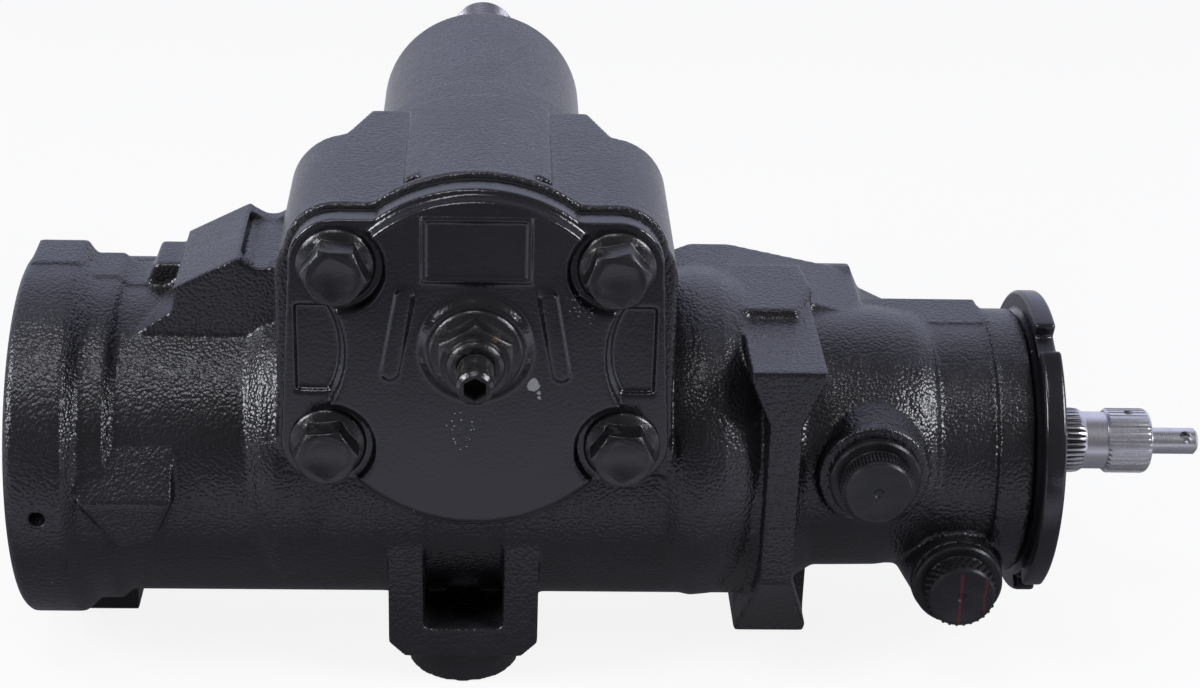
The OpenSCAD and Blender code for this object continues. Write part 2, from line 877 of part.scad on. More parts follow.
// rounded box around the sector with its raised pad and cover flange
module sector_box() {
  plate_y(cover_plane, box_back)
    union() {
      translate([-box_half, box_foot])
        square([2 * box_half, box_top - box_round - box_foot]);
      translate([box_round - box_half, box_foot])
        square([2 * (box_half - box_round), box_top - box_foot]);
      for (s = [-1, 1])
        translate([s * (box_half - box_round), box_top - box_round])
          circle(r = box_round);
    }
  plate_y(cover_plane, flange_back)
    translate([0, centre_distance])
      cover_outline(flange_margin);
  translate([0, 0, box_foot])
    linear_extrude(height = box_top - box_foot)
      polygon([
        [-shoulder_half, 0],
        [-shoulder_half, box_back],
        [-shoulder_end_half, shoulder_back],
        [shoulder_end_half, shoulder_back],
        [shoulder_half, box_back],
        [shoulder_half, 0]
      ]);
  at_sector()
    difference() {
      intersection() {
        rod_y(cover_plane, box_back, bump_r);
        block([-bump_half, cover_plane, 0], [bump_half, box_back, bump_r]);
      }
      for (s = [-1, 1])
        translate([s * bump_half, 0, 2 * bump_half])
          rod_y(flange_back, flange_back + bump_pocket, bump_pocket);
    }
}

// tower around the sector shaft
module tower() {
  at_sector() {
    rod_y(0, tower_root_end, tower_root_r);
    rod_y(0, tower_end - tower_bevel, tower_r);
    cone_y(tower_end - tower_bevel, tower_end, tower_r, tower_r - tower_bevel);
  }
}

// case around the rotary valve
module valve_shell() {
  rod_x(barrel_right, case_right, case_r);
  rod_x(case_right - case_rim_len, case_right, case_r + case_rim_rise);
}

// boss of the oil passage with the gussets and ribs around it
module passage_boss() {
  translate([0, passage_y, passage_z]) {
    rod_x(passage_left, passage_right, passage_boss_r);
    rod_x(passage_left - end_boss_len, passage_left, end_boss_r);
  }
  plate_y(gusset_front, gusset_back)
    polygon([
      [gusset_left - 2 * collar_rise, 0],
      [gusset_left - 2 * collar_rise, sqrt(barrel_r * barrel_r - gusset_front * gusset_front) - over],
      [gusset_left, gusset_low - collar_rise],
      [gusset_left, gusset_low],
      [gusset_right, gusset_high],
      [gusset_right, 0]
    ]);
  for (y = [gusset_front, gusset_back - barrel_wall])
    block([gusset_right - over, y, 0], [-box_half + over, y + barrel_wall, gusset_high - collar_bevel]);
  plate_y(strip_front, strip_back)
    polygon([
      [left_end + collar_bevel, 0],
      [left_end + collar_bevel, collar_r + strip_rise],
      [collar_right, collar_r + strip_rise],
      [collar_right + band_rise, band_r + strip_rise],
      [band_right, band_r + strip_rise],
      [band_right + band_rise, barrel_r + strip_rise],
      [gusset_left - 2 * lug_bevel, barrel_r + strip_rise],
      [gusset_left - lug_bevel - band_rise, gusset_low - band_rise],
      [gusset_left + over, gusset_low - band_rise],
      [gusset_left + over, 0]
    ]);
  block([leg_b, strip_front, 0], [case_right - case_rim_len, strip_back, case_r + strip_rise]);
  block([box_half - over, ledge_front, 0], [leg_a + over, rib_back, ledge_top]);
  rib_body(rib_front, box_half - over);
  rib_body(slope_front, leg_a + leg_web);
  leg_pad();
}

// rib behind the leg, cut off at its left side
module rib_body(front, left) {
  intersection() {
    plate_y(front, rib_back)
      polygon([
        [box_half - over, 0],
        [box_half - over, ledge_top - over],
        [leg_a - 2 * barrel_wall, rib_crest],
        [leg_a, rib_crest],
        [passage_right, rib_crest - rib_fall],
        [passage_right + band_rise, rib_crest - 2 * rib_fall + band_rise],
        [case_right - case_rim_len, strip_back],
        [case_right - case_rim_len, 0]
      ]);
    block([left, front - over, 0], [case_right, rib_back + over, box_top]);
  }
}

// bare raised pad on top of the leg
module leg_pad() {
  translate([0, 0, ledge_top])
    linear_extrude(height = leg_top + pad_rise - ledge_top)
      polygon([
        [leg_a + over, pad_front],
        [leg_b - lug_bevel, pad_front],
        [leg_b + over, rib_front - lug_bevel],
        [leg_b - over, strip_back],
        [leg_a, strip_back],
        [leg_a - band_rise, rib_front + over]
      ]);
}

// bevelled boss on the front of the barrel
module front_boss() {
  intersection() {
    plate_x(front_boss_a, front_boss_b)
      polygon([
        [-bore_r - over, front_boss_top + over],
        [-bore_r - band_rise, front_boss_top],
        [-front_boss_out, front_boss_ridge],
        [-front_boss_out + front_boss_slope, front_boss_low],
        [-bore_r - over, front_boss_low]
      ]);
    plate_y(-front_boss_out - over, -bore_r)
      polygon([
        [front_boss_a, front_boss_top],
        [front_boss_b, front_boss_top],
        [front_boss_b, front_boss_ridge],
        [front_boss_b - barrel_wall, front_boss_low + front_boss_slope],
        [front_boss_a + 2 * collar_rise, front_boss_low],
        [front_boss_a + front_boss_slope, front_boss_ridge]
      ]);
  }
}

// middle lug with its two cheeks and round foot
module middle_lug() {
  translate([-sector_x, 0, 0])
    difference() {
      plate_y(lug_front, 0)
        polygon([
          [-lug_half, 0],
          [-lug_half, lug_low + lug_bevel],
          [-lug_half + lug_bevel, lug_low],
          [lug_half - lug_bevel, lug_low],
          [lug_half, lug_low + lug_bevel],
          [lug_half, 0]
        ]);
      block([-lug_half + cheek_t, lug_front - over, lug_high], [lug_half - cheek_t, -lug_half / 2, over]);
    }
  translate([-sector_x, -worm_y, 0])
    rod_z(-worm_h, lug_low + over, foot_r);
}

// left lug under the end collar
module left_lug() {
  block([left_lug_a, left_lug_front, -worm_h], [left_lug_b, pad_back, 0]);
}

// leg with its web, head and foot at the input end
module leg() {
  middle = (leg_a + leg_b) / 2;
  plate_x(middle - leg_web / 2, middle + leg_web / 2)
    polygon(leg_side(leg_top - over));
  plate_y(leg_front, rib_front)
    polygon([
      [leg_a, leg_top],
      [leg_a, leg_top - leg_head_t],
      [middle - leg_web / 2, leg_top - leg_head_t - leg_flare],
      [middle + leg_web / 2, leg_top - leg_head_t - leg_flare],
      [leg_b, leg_top - leg_head_t],
      [leg_b, leg_top]
    ]);
  intersection() {
    plate_x(leg_a, leg_b + leg_shift)
      polygon(leg_side(leg_knee));
    plate_y(leg_front - over, pad_back)
      polygon([
        [middle - leg_web / 2, leg_knee],
        [leg_a + leg_shift, leg_foot_t - worm_h],
        [leg_a + leg_shift, -worm_h],
        [leg_b + leg_shift, -worm_h],
        [leg_b + leg_shift, leg_foot_t - worm_h],
        [middle + leg_web / 2, leg_knee]
      ]);
  }
  block([leg_a + leg_shift, leg_foot_front + leg_foot_t, -worm_h], [leg_b + leg_shift, pad_back, 0]);
}

// side outline of the leg up to a height
function leg_side(high) = [
  [leg_front, high],
  [leg_front, leg_knee - over],
  [leg_foot_front, -worm_h],
  [pad_back, -worm_h],
  [pad_back, 0],
  [0, high]
];

// bosses of the two oil ports
module port_bosses() {
  translate([pressure_x, 0, pressure_z]) {
    rod_y(pressure_face, 0, pressure_boss_r);
    cone_y(pressure_face + port_root, -pressure_boss_r, pressure_boss_r, pressure_boss_r + collar_rise);
  }
  translate([return_x, 0, return_z]) {
    rod_y(return_face, 0, return_boss_r);
    cone_y(return_face + port_root, 0, return_boss_r, return_boss_r + port_root);
  }
}

// bores of the cylinder and the end plug
module cylinder_bores() {
  rod_x(plug_seat - over, cyl_end, bore_r);
  rod_x(left_end - over, plug_seat, plug_bore_r);
  rod_x(end_ring_out - seat_fit, plug_out, plug_bore_r + end_ring_depth);
  translate([(end_ring_out + plug_out) / 2, 0, 0])
    rod_y(-collar_r - over, -bore_r, push_hole_r);
}

// bores of the sector shaft and its chamber
module sector_bores() {
  at_sector() {
    rod_y(cover_plane - over, chamber_back, chamber_r);
    rod_y(0, tower_end + over, sector_r + free_gap);
    rod_y(needle_start, needle_start + needle_len, needle_bore);
    rod_y(seal_start, tower_end + over, seal_r);
    rod_y(keeper_start() - seat_fit, keeper_start() + washer_t + seat_fit, seal_r + seal_ring_depth);
    for (p = bolt_places)
      translate([p[0], 0, p[1]])
        rod_y(cover_plane - over, cover_plane + bolt_depth + free_gap, bolt_r + seat_fit);
  }
}

// start of the keeper ring of the sector seals
function keeper_start() = seal_start + 2 * (sector_seal_w + washer_t) + 4 * seat_fit;

// bores of the rotary valve
module valve_bores() {
  rod_x(cyl_end - over, lower_seat + over, worm_shank_r + free_gap);
  rod_x(lower_seat, valve_left, lower_race_r + seat_fit);
  rod_x(valve_left - free_gap / 2, adjuster_left, valve_bore_r);
  rod_x(adjuster_left - bearing_t / 2, case_right + over, adjuster_r + seat_fit);
}

// bores of the two oil ports
module port_bores() {
  translate([pressure_x, 0, pressure_z]) {
    rod_y(pressure_face - over, pressure_face + port_depth, port_r);
    rod_y(pressure_face, pressure_face + port_depth + seat_len, seat_r);
    rod_y(pressure_face, 0, oil_way_r);
  }
  translate([return_x, 0, return_z]) {
    rod_y(return_face - over, return_face + port_depth, port_r);
    rod_y(return_face, return_face + port_depth + seat_len, seat_r);
  }
  translate([return_x - return_shift, 0, return_z + oil_way_r])
    rod_y(return_face + port_depth - over, 0, oil_way_r);
}

// bores of the oil passage between the valve and the far end of the cylinder
module passage_bores() {
  translate([0, passage_y, passage_z])
    rod_x(passage_left + passage_boss_r / 2, valve_left + bearing_t, passage_r);
  for (x = [passage_left + passage_boss_r, valve_left + passage_r])
    translate([x, passage_y, passage_z])
      rotate([-atan2(passage_y, -passage_z), 0, 0])
        rod_z(0, bore_r / 2, passage_r - seat_fit);
}

// tapped holes in the three mounting pads
module mount_holes() {
  translate([-sector_x, -worm_y, 0])
    rod_z(-worm_h - over, lug_high + over, mount_r);
  for (x = [(left_lug_a + left_lug_b) / 2, (leg_a + leg_b) / 2 + leg_shift])
    translate([x, rear_hole_y, 0])
      rod_z(-worm_h - over, lug_high - free_gap, mount_r);
}

module housing() {
  color("#17181b")
    at_worm()
      difference() {
        union() {
          barrel_shell();
          sector_box();
          tower();
          valve_shell();
          passage_boss();
          front_boss();
          middle_lug();
          left_lug();
          leg();
          port_bosses();
        }
        cylinder_bores();
        sector_bores();
        valve_bores();
        port_bores();
        passage_bores();
        mount_holes();
      }
}

module side_cover() {
  color("#1b1c1f")
    at_worm()
      at_sector()
        difference() {
          union() {
            plate_y(cover_out, cover_in)
              cover_outline(0);
            difference() {
              cover_body();
              for (p = bolt_places)
                translate([p[0], 0, p[1]])
                  rod_y(dome_out - over, cover_out + over, scallop_r);
              for (s = [-1, 1])
                translate([s * side_cut_x, 0, -bolt_flange_t])
                  rod_y(dome_out - over, cover_out + over, side_cut_r);
            }
            cone_y(boss_out, dome_out, lash_boss_r - thin_step, lash_boss_r + lash_boss_h);
            rod_y(cover_in, bush_end, bush_boss_r);
            cover_marks();
          }
          for (s = [-1, 1])
            side_pocket(s);
          for (p = bolt_places)
            translate([p[0], 0, p[1]])
              rod_y(cover_out - over, cover_in + over, bolt_r + bolt_play);
          rod_y(cover_in - seat_fit, bush_end + over, bush_bore + seat_fit);
          rod_y(boss_out - over, cover_in, lash_r + seat_fit);
        }
}

// raised body of the cover with its sloped edge
module cover_body() {
  cone_y(dome_out, cover_out, cover_top_r - dome_inset - dome_h / 2, cover_top_r - dome_inset);
  translate([0, 0, -cover_low_drop])
    cone_y(dome_out, cover_out, cover_low_r - dome_inset - dome_h / 2, cover_low_r - dome_inset);
}

// concave pocket between two bolts, inside the rim of the flange
module side_pocket(s) {
  intersection() {
    translate([s * side_cut_x, 0, -bolt_flange_t])
      rod_y(cover_out - over, cover_out + side_cut_depth, side_cut_r - side_rim);
    translate([s * (bolt_top_x - side_cut_r / 2 + ear_r - side_rim), 0, -bolt_flange_t])
      block([-side_cut_r / 2, cover_out - over, -ear_r], [side_cut_r / 2, cover_in, ear_r]);
  }
}

// bare plate frame and slanted ribs on the outer face of the cover
module cover_marks() {
  translate([-plate_w / 2, 0, plate_z])
    difference() {
      block([0, dome_out - plate_edge, 0], [plate_w, cover_out, plate_h]);
      block([plate_edge, dome_out - plate_edge - over, plate_edge],
        [plate_w - plate_edge, dome_out, plate_h - plate_edge]);
    }
  for (s = [-1, 1])
    translate([s * rib_x, 0, rib_z])
      rotate([0, -s * rib_slant, 0]) {
        block([-rib_w / 2, dome_out - plate_edge, -rib_len / 2], [rib_w / 2, cover_out, rib_len / 2]);
        for (e = [-1, 1])
          translate([0, 0, e * rib_len / 2])
            rod_y(dome_out - plate_edge, cover_out, rib_w / 2);
      }
}

module cover_gasket() {
  color("#2b2a28")
    at_worm()
      at_sector()
        difference() {
          plate_y(cover_in, cover_plane)
            cover_outline(0);
          rod_y(cover_in - over, cover_plane + over, chamber_r);
          for (p = bolt_places)
            translate([p[0], 0, p[1]])
              rod_y(cover_in - over, cover_plane + over, bolt_r + bolt_play);
        }
}

module cover_bolts() {
  color("#202125")
    at_worm()
      at_sector()
        for (p = bolt_places)
          translate([p[0], 0, p[1]]) {
            rod_y(cover_out - bolt_flange_t, cover_out, bolt_flange_r);
            hex_y(cover_out - bolt_flange_t - bolt_head_h, cover_out - bolt_flange_t, bolt_hex);
            rod_y(cover_out, cover_plane + bolt_depth, bolt_r);
          }
}

module lash_adjuster() {
  color("#3a3b3f")
    at_worm()
      at_sector()
        difference() {
          union() {
            rod_y(lash_end, lash_head_in, lash_r);
            rod_y(lash_head_out, lash_head_in, lash_head_r);
          }
          hex_y(lash_end - over, lash_end + lash_socket_depth, lash_socket);
        }
}

module lash_lock_nut() {
  color("#26262a")
    at_worm()
      at_sector()
        difference() {
          union() {
            rod_y(boss_out - nut_face_t, boss_out, nut_face_r);
            hex_y(boss_out - nut_face_t - nut_h, boss_out - nut_face_t, nut_hex);
            rod_y(nut_out, boss_out - nut_face_t - nut_h, nut_crown_r);
          }
          rod_y(nut_out - over, boss_out + over, lash_r + seat_fit);
        }
}

module cover_bushing() {
  color("#b08d4f")
    at_worm()
      at_sector()
        tube_y(cover_in + pocket_depth, bush_end, bush_bore, sector_r + run_fit);
}

module end_plug() {
  color("#3b3d41")
    at_worm()
      difference() {
        rod_x(plug_out, plug_seat, plug_r);
        rod_x(plug_out - over, plug_out + plug_thick / 3, bore_r / 2);
        tube_x(plug_seat - plug_thick / 2 - o_ring_d / 2, plug_seat - plug_thick / 2 + o_ring_d / 2,
          plug_r + over, plug_r - o_ring_d);
      }
}

module end_plug_seal() {
  color("#1a1a1a")
    at_worm()
      tube_x(plug_seat - plug_thick / 2 - o_ring_d / 2 + seat_fit,
        plug_seat - plug_thick / 2 + o_ring_d / 2 - seat_fit, plug_r, plug_r - o_ring_d + seat_fit);
}

module end_plug_ring() {
  color("#8a8c90")
    at_worm()
      difference() {
        tube_x(end_ring_out, plug_out - seat_fit, plug_bore_r + end_ring_depth - seat_fit,
          plug_bore_r - end_ring_depth);
        block([end_ring_out - over, -plug_bore_r - collar_rise, -free_gap],
          [plug_out, -bore_r / 2, free_gap]);
      }
}

module adjuster_plug() {
  color("#2c2d31")
    at_worm()
      difference() {
        rod_x(adjuster_left, adjuster_right, adjuster_r);
        rod_x(adjuster_left - over, stub_ring_x + stub_ring_t + free_gap, stub_bearing_r + seat_fit);
        rod_x(adjuster_left, adjuster_right + over, stub_bearing_r - stub_bearing_t / 2);
        tube_x(case_right - o_ring_d - lock_ring_t, case_right - lock_ring_t, adjuster_r + over,
          adjuster_r - o_ring_d);
      }
}

module adjuster_lock_ring() {
  color("#1a1b1e")
    at_worm()
      difference() {
        rotate([90, 0, 90])
          rotate_extrude()
            polygon([
              [adjuster_r + seat_fit, case_right],
              [case_r, case_right],
              [case_r + case_rim_rise, case_right + lock_ring_dish],
              [lock_ring_r, case_right + lock_ring_dish],
              [lock_ring_r, case_right + lock_ring_dish + lock_ring_t],
              [case_r, case_right + lock_ring_dish + lock_ring_t],
              [case_r - lock_ring_dish, case_right + lock_ring_t],
              [adjuster_r + seat_fit, case_right + lock_ring_t]
            ]);
        for (i = [0 : lock_notches - 1])
          rotate([lock_turn + i * 360 / lock_notches, 0, 0])
            block([case_right - over, -lock_notch_w / 2, lock_ring_r - lock_notch_depth],
              [case_right + 2 * lock_ring_t, lock_notch_w / 2, lock_ring_r + over]);
      }
}

module adjuster_seal() {
  color("#1a1a1a")
    at_worm()
      tube_x(case_right - lock_ring_t - o_ring_d + seat_fit, case_right - lock_ring_t - seat_fit,
        adjuster_r,
        adjuster_r - o_ring_d + seat_fit);
}

module stub_bearing() {
  color("#9a9ca0")
    at_worm()
      tube_x(adjuster_left + seat_fit, adjuster_left + stub_bearing_len, stub_bearing_r, stub_r + run_fit);
}

module stub_seal() {
  color("#222222")
    at_worm()
      tube_x(stub_seal_x + seat_fit, stub_seal_x + stub_seal_w, stub_bearing_r, stub_r + run_fit);
}

module stub_dust_seal() {
  color("#262626")
    at_worm()
      tube_x(dust_seal_x, dust_seal_x + dust_seal_w, stub_bearing_r, stub_r + run_fit);
}

module stub_keeper_ring() {
  color("#8a8c90")
    at_worm()
      tube_x(stub_ring_x, stub_ring_x + stub_ring_t, stub_bearing_r, stub_bearing_r - stub_bearing_t / 2);
}

// flat race of a thrust bearing
module race(a, outer, inner) {
  tube_x(a, a + race_t, outer, inner);
}

// ring of thrust rollers between two races
module thrust_rollers(a, outer, inner) {
  for (i = [0 : roller_count - 1])
    rotate([i * 360 / roller_count, 0, 0])
      translate([a + race_t + run_fit + roller_r, 0, 0])
        rod_z(inner + free_gap, outer - free_gap, roller_r);
}

module upper_thrust_rollers() {
  color("#a4a6aa")
    at_worm()
      thrust_rollers(valve_right, valve_r - free_gap, sleeve_r);
}

module upper_thrust_race() {
  color("#96989c")
    at_worm()
      race(valve_right, valve_r - free_gap, sleeve_r);
}

module adjuster_race() {
  color("#96989c")
    at_worm()
      race(adjuster_left - race_t, valve_r - free_gap, sleeve_r);
}

module lower_thrust_rollers() {
  color("#a4a6aa")
    at_worm()
      thrust_rollers(lower_seat, lower_race_r, lower_race_in);
}

module lower_thrust_race() {
  color("#96989c")
    at_worm()
      race(lower_seat, lower_race_r, lower_race_in);
}

module worm_race() {
  color("#96989c")
    at_worm()
      race(flange_left - race_t, lower_race_r - free_gap, worm_shank_r + seat_fit);
}

module sector_needle_bearing() {
  color("#a4a6aa")
    at_worm()
      at_sector() {
        tube_y(needle_start + seat_fit, needle_start + needle_len - seat_fit, needle_bore - seat_fit,
          needle_bore - needle_shell_t);
        for (i = [0 : needle_count - 1])
          rotate([0, i * 360 / needle_count, 0])
            translate([0, 0, sector_r + run_fit + needle_r])
              rod_y(needle_start + over, needle_start + needle_len - over, needle_r);
      }
}

// ring in the seal bore of the tower
module seal_ring(a, width) {
  tube_y(a, a + width, seal_r - seat_fit, sector_r + run_fit);
}

module sector_inner_seal() {
  color("#222222")
    at_worm()
      at_sector()
        seal_ring(seal_start + seat_fit, sector_seal_w);
}

module sector_outer_seal() {
  color("#262626")
    at_worm()
      at_sector()
        seal_ring(seal_start + sector_seal_w + washer_t + 3 * seat_fit, sector_seal_w);
}

module sector_seal_washers() {
  color("#8a8c90")
    at_worm()
      at_sector()
        for (i = [0, 1])
          tube_y(seal_start + (i + 1) * sector_seal_w + i * washer_t + (2 * i + 2) * seat_fit,
            seal_start + (i + 1) * (sector_seal_w + washer_t) + (2 * i + 2) * seat_fit,
            seal_r - seat_fit, sector_r + free_gap);
}

module sector_keeper_ring() {
  color("#8a8c90")
    at_worm()
      at_sector()
        difference() {
          tube_y(keeper_start() + seat_fit, keeper_start() + washer_t, seal_r + seal_ring_depth - seat_fit,
            seal_r - 2 * seal_ring_depth);
          block([-lash_head_r, keeper_start() - over, 0],
            [lash_head_r, keeper_start() + 2 * washer_t, tower_r]);
        }
}

// brass seat at the bottom of an oil port
module port_seat(face) {
  tube_y(face + port_depth - seat_len / 2, face + port_depth + seat_len - seat_fit,
    seat_r - seat_fit, oil_way_r);
}

module pressure_seat() {
  color("#b5975a")
    at_worm()
      translate([pressure_x, 0, pressure_z])
        port_seat(pressure_face);
}

module return_seat() {
  color("#b5975a")
    at_worm()
      translate([return_x, 0, return_z])
        port_seat(return_face);
}

// shipping plug in an oil port
module port_plug(face) {
  rod_y(face - plug_flange_t, face, plug_flange_r);
  rod_y(face - plug_flange_t - plug_cap_h, face - plug_flange_t, plug_cap_r);
  rod_y(face, face + plug_stem, port_r - seat_fit);
}

module pressure_plug() {
  color("#131315")
    at_worm()
      translate([pressure_x, 0, pressure_z])
        port_plug(pressure_face);
}

module return_plug() {
  color("#131315")
    at_worm()
      translate([return_x, 0, return_z])
        port_plug(return_face);
}

// grooved part of the worm as one closed skin
module worm_thread() {
  rows = ceil((groove_right - worm_left) / worm_lead * groove_lead_steps);
  turn = 360 / groove_turn_steps;
  n = groove_turn_steps;
  skin = [
    for (j = [0 : rows], i = [0 : n - 1])
      let (x = worm_left + (groove_right - worm_left) * j / rows)
      let (r = groove_radius(x, i * turn))
      [x, r * cos(i * turn), r * sin(i * turn)]
  ];
  sides = [
    for (j = [0 : rows - 1], i = [0 : n - 1], k = [0, 1])
      let (a = j * n + i)
      let (b = j * n + (i + 1) % n)
      k == 0 ? [a, a + n, b + n] : [a, b + n, b]
  ];
  left_cap = [[for (i = [0 : n - 1]) i]];
  right_cap = [[for (i = [n - 1 : -1 : 0]) rows * n + i]];
  polyhedron(points = skin, faces = concat(sides, left_cap, right_cap));
}

module worm_shaft() {
  color("#85878b")
    at_worm() {
      worm_thread();
      difference() {
        union() {
          rod_x(groove_right, flange_left, worm_shank_r);
          rod_x(flange_left, flange_right, lower_race_r - free_gap);
          rod_x(flange_right, head_right, sleeve_r - seat_fit);
        }
        rod_x(torsion_left - free_gap, head_right + over, torsion_end_r + 4 * seat_fit);
        plate_x(head_right - head_slot_depth, head_right + over)
          for (s = [-1, 1])
            rotate(s * (twist_max + over / 2))
              square([2 * spool_in, spool_in], center = true);
        translate([flange_right + 2 * drive_pin_r, 0, 0])
          rod_z(torsion_end_r, valve_bore_r, drive_pin_r + seat_fit);
      }
    }
}

module valve_body() {
  color("#8d8f93")
    at_worm()
      difference() {
        rod_x(valve_left, valve_right, valve_r);
        rod_x(valve_left - over, valve_right + over, sleeve_r);
        for (i = [0 : 2])
          tube_x(ring_place(i), ring_place(i) + valve_ring_w, valve_r + over, valve_r - valve_ring_t);
        for (i = [0 : 1]) {
          tube_x(groove_place(i), groove_place(i) + oil_groove_w, valve_r + over,
            valve_r - oil_groove_depth);
          for (k = [0 : spool_slots - 1])
            rotate([k * 360 / spool_slots, 0, 0])
              translate([groove_place(i) + oil_groove_w / 2, 0, 0])
                rod_z(spool_in, valve_bore_r, oil_hole_r);
        }
        translate([flange_right + 2 * drive_pin_r, 0, 0])
          rod_z(spool_in, valve_bore_r, drive_pin_r + seat_fit);
      }
}

// place of one ring groove of the valve body
function ring_place(i) = valve_left + valve_len * (ring_share + ring_pitch * i);

// place of one oil groove of the valve body
function groove_place(i) = valve_left + valve_len * (ring_share + groove_share + ring_pitch * i);

module valve_rings() {
  color("#5d4a35")
    at_worm()
      for (i = [0 : 2])
        tube_x(ring_place(i) + seat_fit, ring_place(i) + valve_ring_w - seat_fit, valve_r,
          valve_r - valve_ring_t + seat_fit);
}

module valve_drive_pin() {
  color("#77797d")
    at_worm()
      translate([flange_right + 2 * drive_pin_r, 0, 0])
        rod_z(spool_in, valve_r - valve_ring_t, drive_pin_r);
}

module stub_shaft() {
  color("#a9abaf")
    at_worm()
      difference() {
        union() {
          intersection() {
            rod_x(stub_left, spool_left, spool_seat_r);
            block([stub_left, -spool_in, -spool_in / 2], [spool_left, spool_in, spool_in / 2]);
          }
          rod_x(spool_left, spool_right, spool_seat_r);
          rod_x(spool_right, band_start, stub_r);
          serrated_bar(band_start, band_end, spline_r);
          rod_x(band_end, spline_start, stub_neck_r);
          serrated_bar(spline_start, spline_end, spline_r);
          rod_x(spline_end, nose_end, nose_r);
        }
        rod_x(stub_left - over, torsion_right + seat_fit, torsion_bore);
        translate([cross_pin_x, 0, 0])
          rod_z(0, spline_r + over, cross_pin_r + seat_fit);
        translate([nose_end - nose_r, 0, 0])
          rotate([-nose_turn, 0, 0])
            rod_y(-nose_r - over, nose_r + over, nose_r / 2);
        translate([spool_right - 2 * drive_pin_r, 0, 0])
          rod_z(torsion_end_r, spool_r, drive_pin_r + seat_fit);
      }
}

// serrated bar along the worm axis with a smooth strip on top
module serrated_bar(a, b, r) {
  plate_x(a, b)
    union() {
      polygon(serration(r, spline_depth, spline_teeth));
      intersection() {
        circle(r = r - spline_depth / 4);
        polygon([[0, 0], r * [-tan(blank_half()), 1], r * [tan(blank_half()), 1]]);
      }
    }
}

// half angle of the smooth strip
function blank_half() = spline_blank * 180 / spline_teeth;

module valve_spool() {
  color("#94969a")
    at_worm()
      difference() {
        rod_x(spool_left, spool_right, spool_r);
        rod_x(spool_left - over, spool_right + over, spool_in);
        for (k = [0 : spool_slots - 1])
          rotate([(k + 0.5) * 360 / spool_slots, 0, 0])
            block([spool_left + oil_groove_w, -oil_hole_r, spool_r - oil_groove_depth],
              [spool_right - oil_groove_w, oil_hole_r, spool_r + over]);
        translate([spool_right - 2 * drive_pin_r, 0, 0])
          rod_z(torsion_end_r, spool_r + over, drive_pin_r + seat_fit);
      }
}

module spool_pin() {
  color("#77797d")
    at_worm()
      translate([spool_right - 2 * drive_pin_r, 0, 0])
        rod_z(torsion_bore + seat_fit, spool_r - seat_fit, drive_pin_r);
}

module torsion_bar() {
  color("#6f7175")
    at_worm()
      difference() {
        union() {
          rod_x(torsion_left, flange_right, torsion_end_r);
          rod_x(flange_right, spline_start, torsion_r);
          rod_x(spline_start, torsion_right, torsion_end_r);
        }
        translate([cross_pin_x, 0, 0])
          rod_z(0, torsion_end_r + over, cross_pin_r + seat_fit);
      }
}

module torsion_pin() {
  color("#77797d")
    at_worm()
      translate([cross_pin_x, 0, 0])
        rod_z(seat_fit, spline_r - 2 * spline_depth, cross_pin_r);
}

module rack_piston() {
  color("#7d7f83")
    at_worm()
      difference() {
        rod_x(rack_left, rack_right, rack_r);
        block([-rack_half, -bore_r, rack_tip], [rack_half, bore_r, bore_r + over]);
        for (i = [-1 : 1])
          plate_y(-bore_r, bore_r)
            translate([i * rack_pitch, 0])
              polygon(rack_space());
        rod_x(rack_left - over, rack_right + over, nut_r);
        rod_x(rack_left - over, rack_left + rack_plug_len, rack_plug_r + seat_fit);
        tube_x(ring_a, ring_b, rack_r + over, rack_r - piston_ring_depth);
        block([guide_x(0) - 2 * guide_r - clamp_w / 2, -clamp_half - over, -bore_r],
          [guide_x(1) + 2 * guide_r + clamp_w / 2, clamp_half + over, -guide_flat]);
        for (i = [0, 1])
          translate([guide_x(i), 0, 0])
            rod_z(-guide_flat - over, -ball_circle, guide_r + seat_fit);
        for (s = [-1, 1])
          translate([(guide_x(0) + guide_x(1)) / 2, s * clamp_screw_y, 0])
            rod_z(-guide_flat - over, guide_flat_wall / 2 - guide_flat + over, clamp_screw_r + seat_fit);
      }
}

// place of one leg of the return guide along the worm axis
function guide_x(i) = worm_lead * (ball_start / 360 + i * ball_turns);

module piston_ring() {
  color("#5d4a35")
    at_worm()
      tube_x(ring_a + seat_fit, ring_b - seat_fit, bore_r - run_fit, rack_r - piston_ring_depth / 2);
}

module piston_ring_seal() {
  color("#1a1a1a")
    at_worm()
      tube_x(ring_a + seat_fit, ring_b - seat_fit, rack_r - piston_ring_depth / 2 - seat_fit,
        rack_r - piston_ring_depth + seat_fit);
}

module rack_plug() {
  color("#5c5e62")
    at_worm()
      difference() {
        rod_x(rack_left, rack_left + rack_plug_len, rack_plug_r);
        block([rack_left - over, -rack_plug_drive / 2, -rack_plug_drive / 2],
          [rack_left + rack_plug_len / 2, rack_plug_drive / 2, rack_plug_drive / 2]);
      }
}

module recirculating_balls() {
  color("#c3c5c9")
    at_worm()
      for (a = [ball_start + ball_step : ball_step : ball_start + 360 * ball_turns - ball_step])
        translate([worm_lead * a / 360, ball_circle * cos(a), ball_circle * sin(a)])
          sphere(r = ball_r, $fn = 32);
}

// solid run of the return guide
module guide_run(r) {
  for (i = [0, 1])
    translate([guide_x(i), 0, 0]) {
      rod_z(-guide_drop, -nut_r - seat_fit, r);
      translate([0, 0, -guide_drop])
        sphere(r = r, $fn = 32);
    }
  translate([0, 0, -guide_drop])
    rod_x(guide_x(0), guide_x(1), r);
}

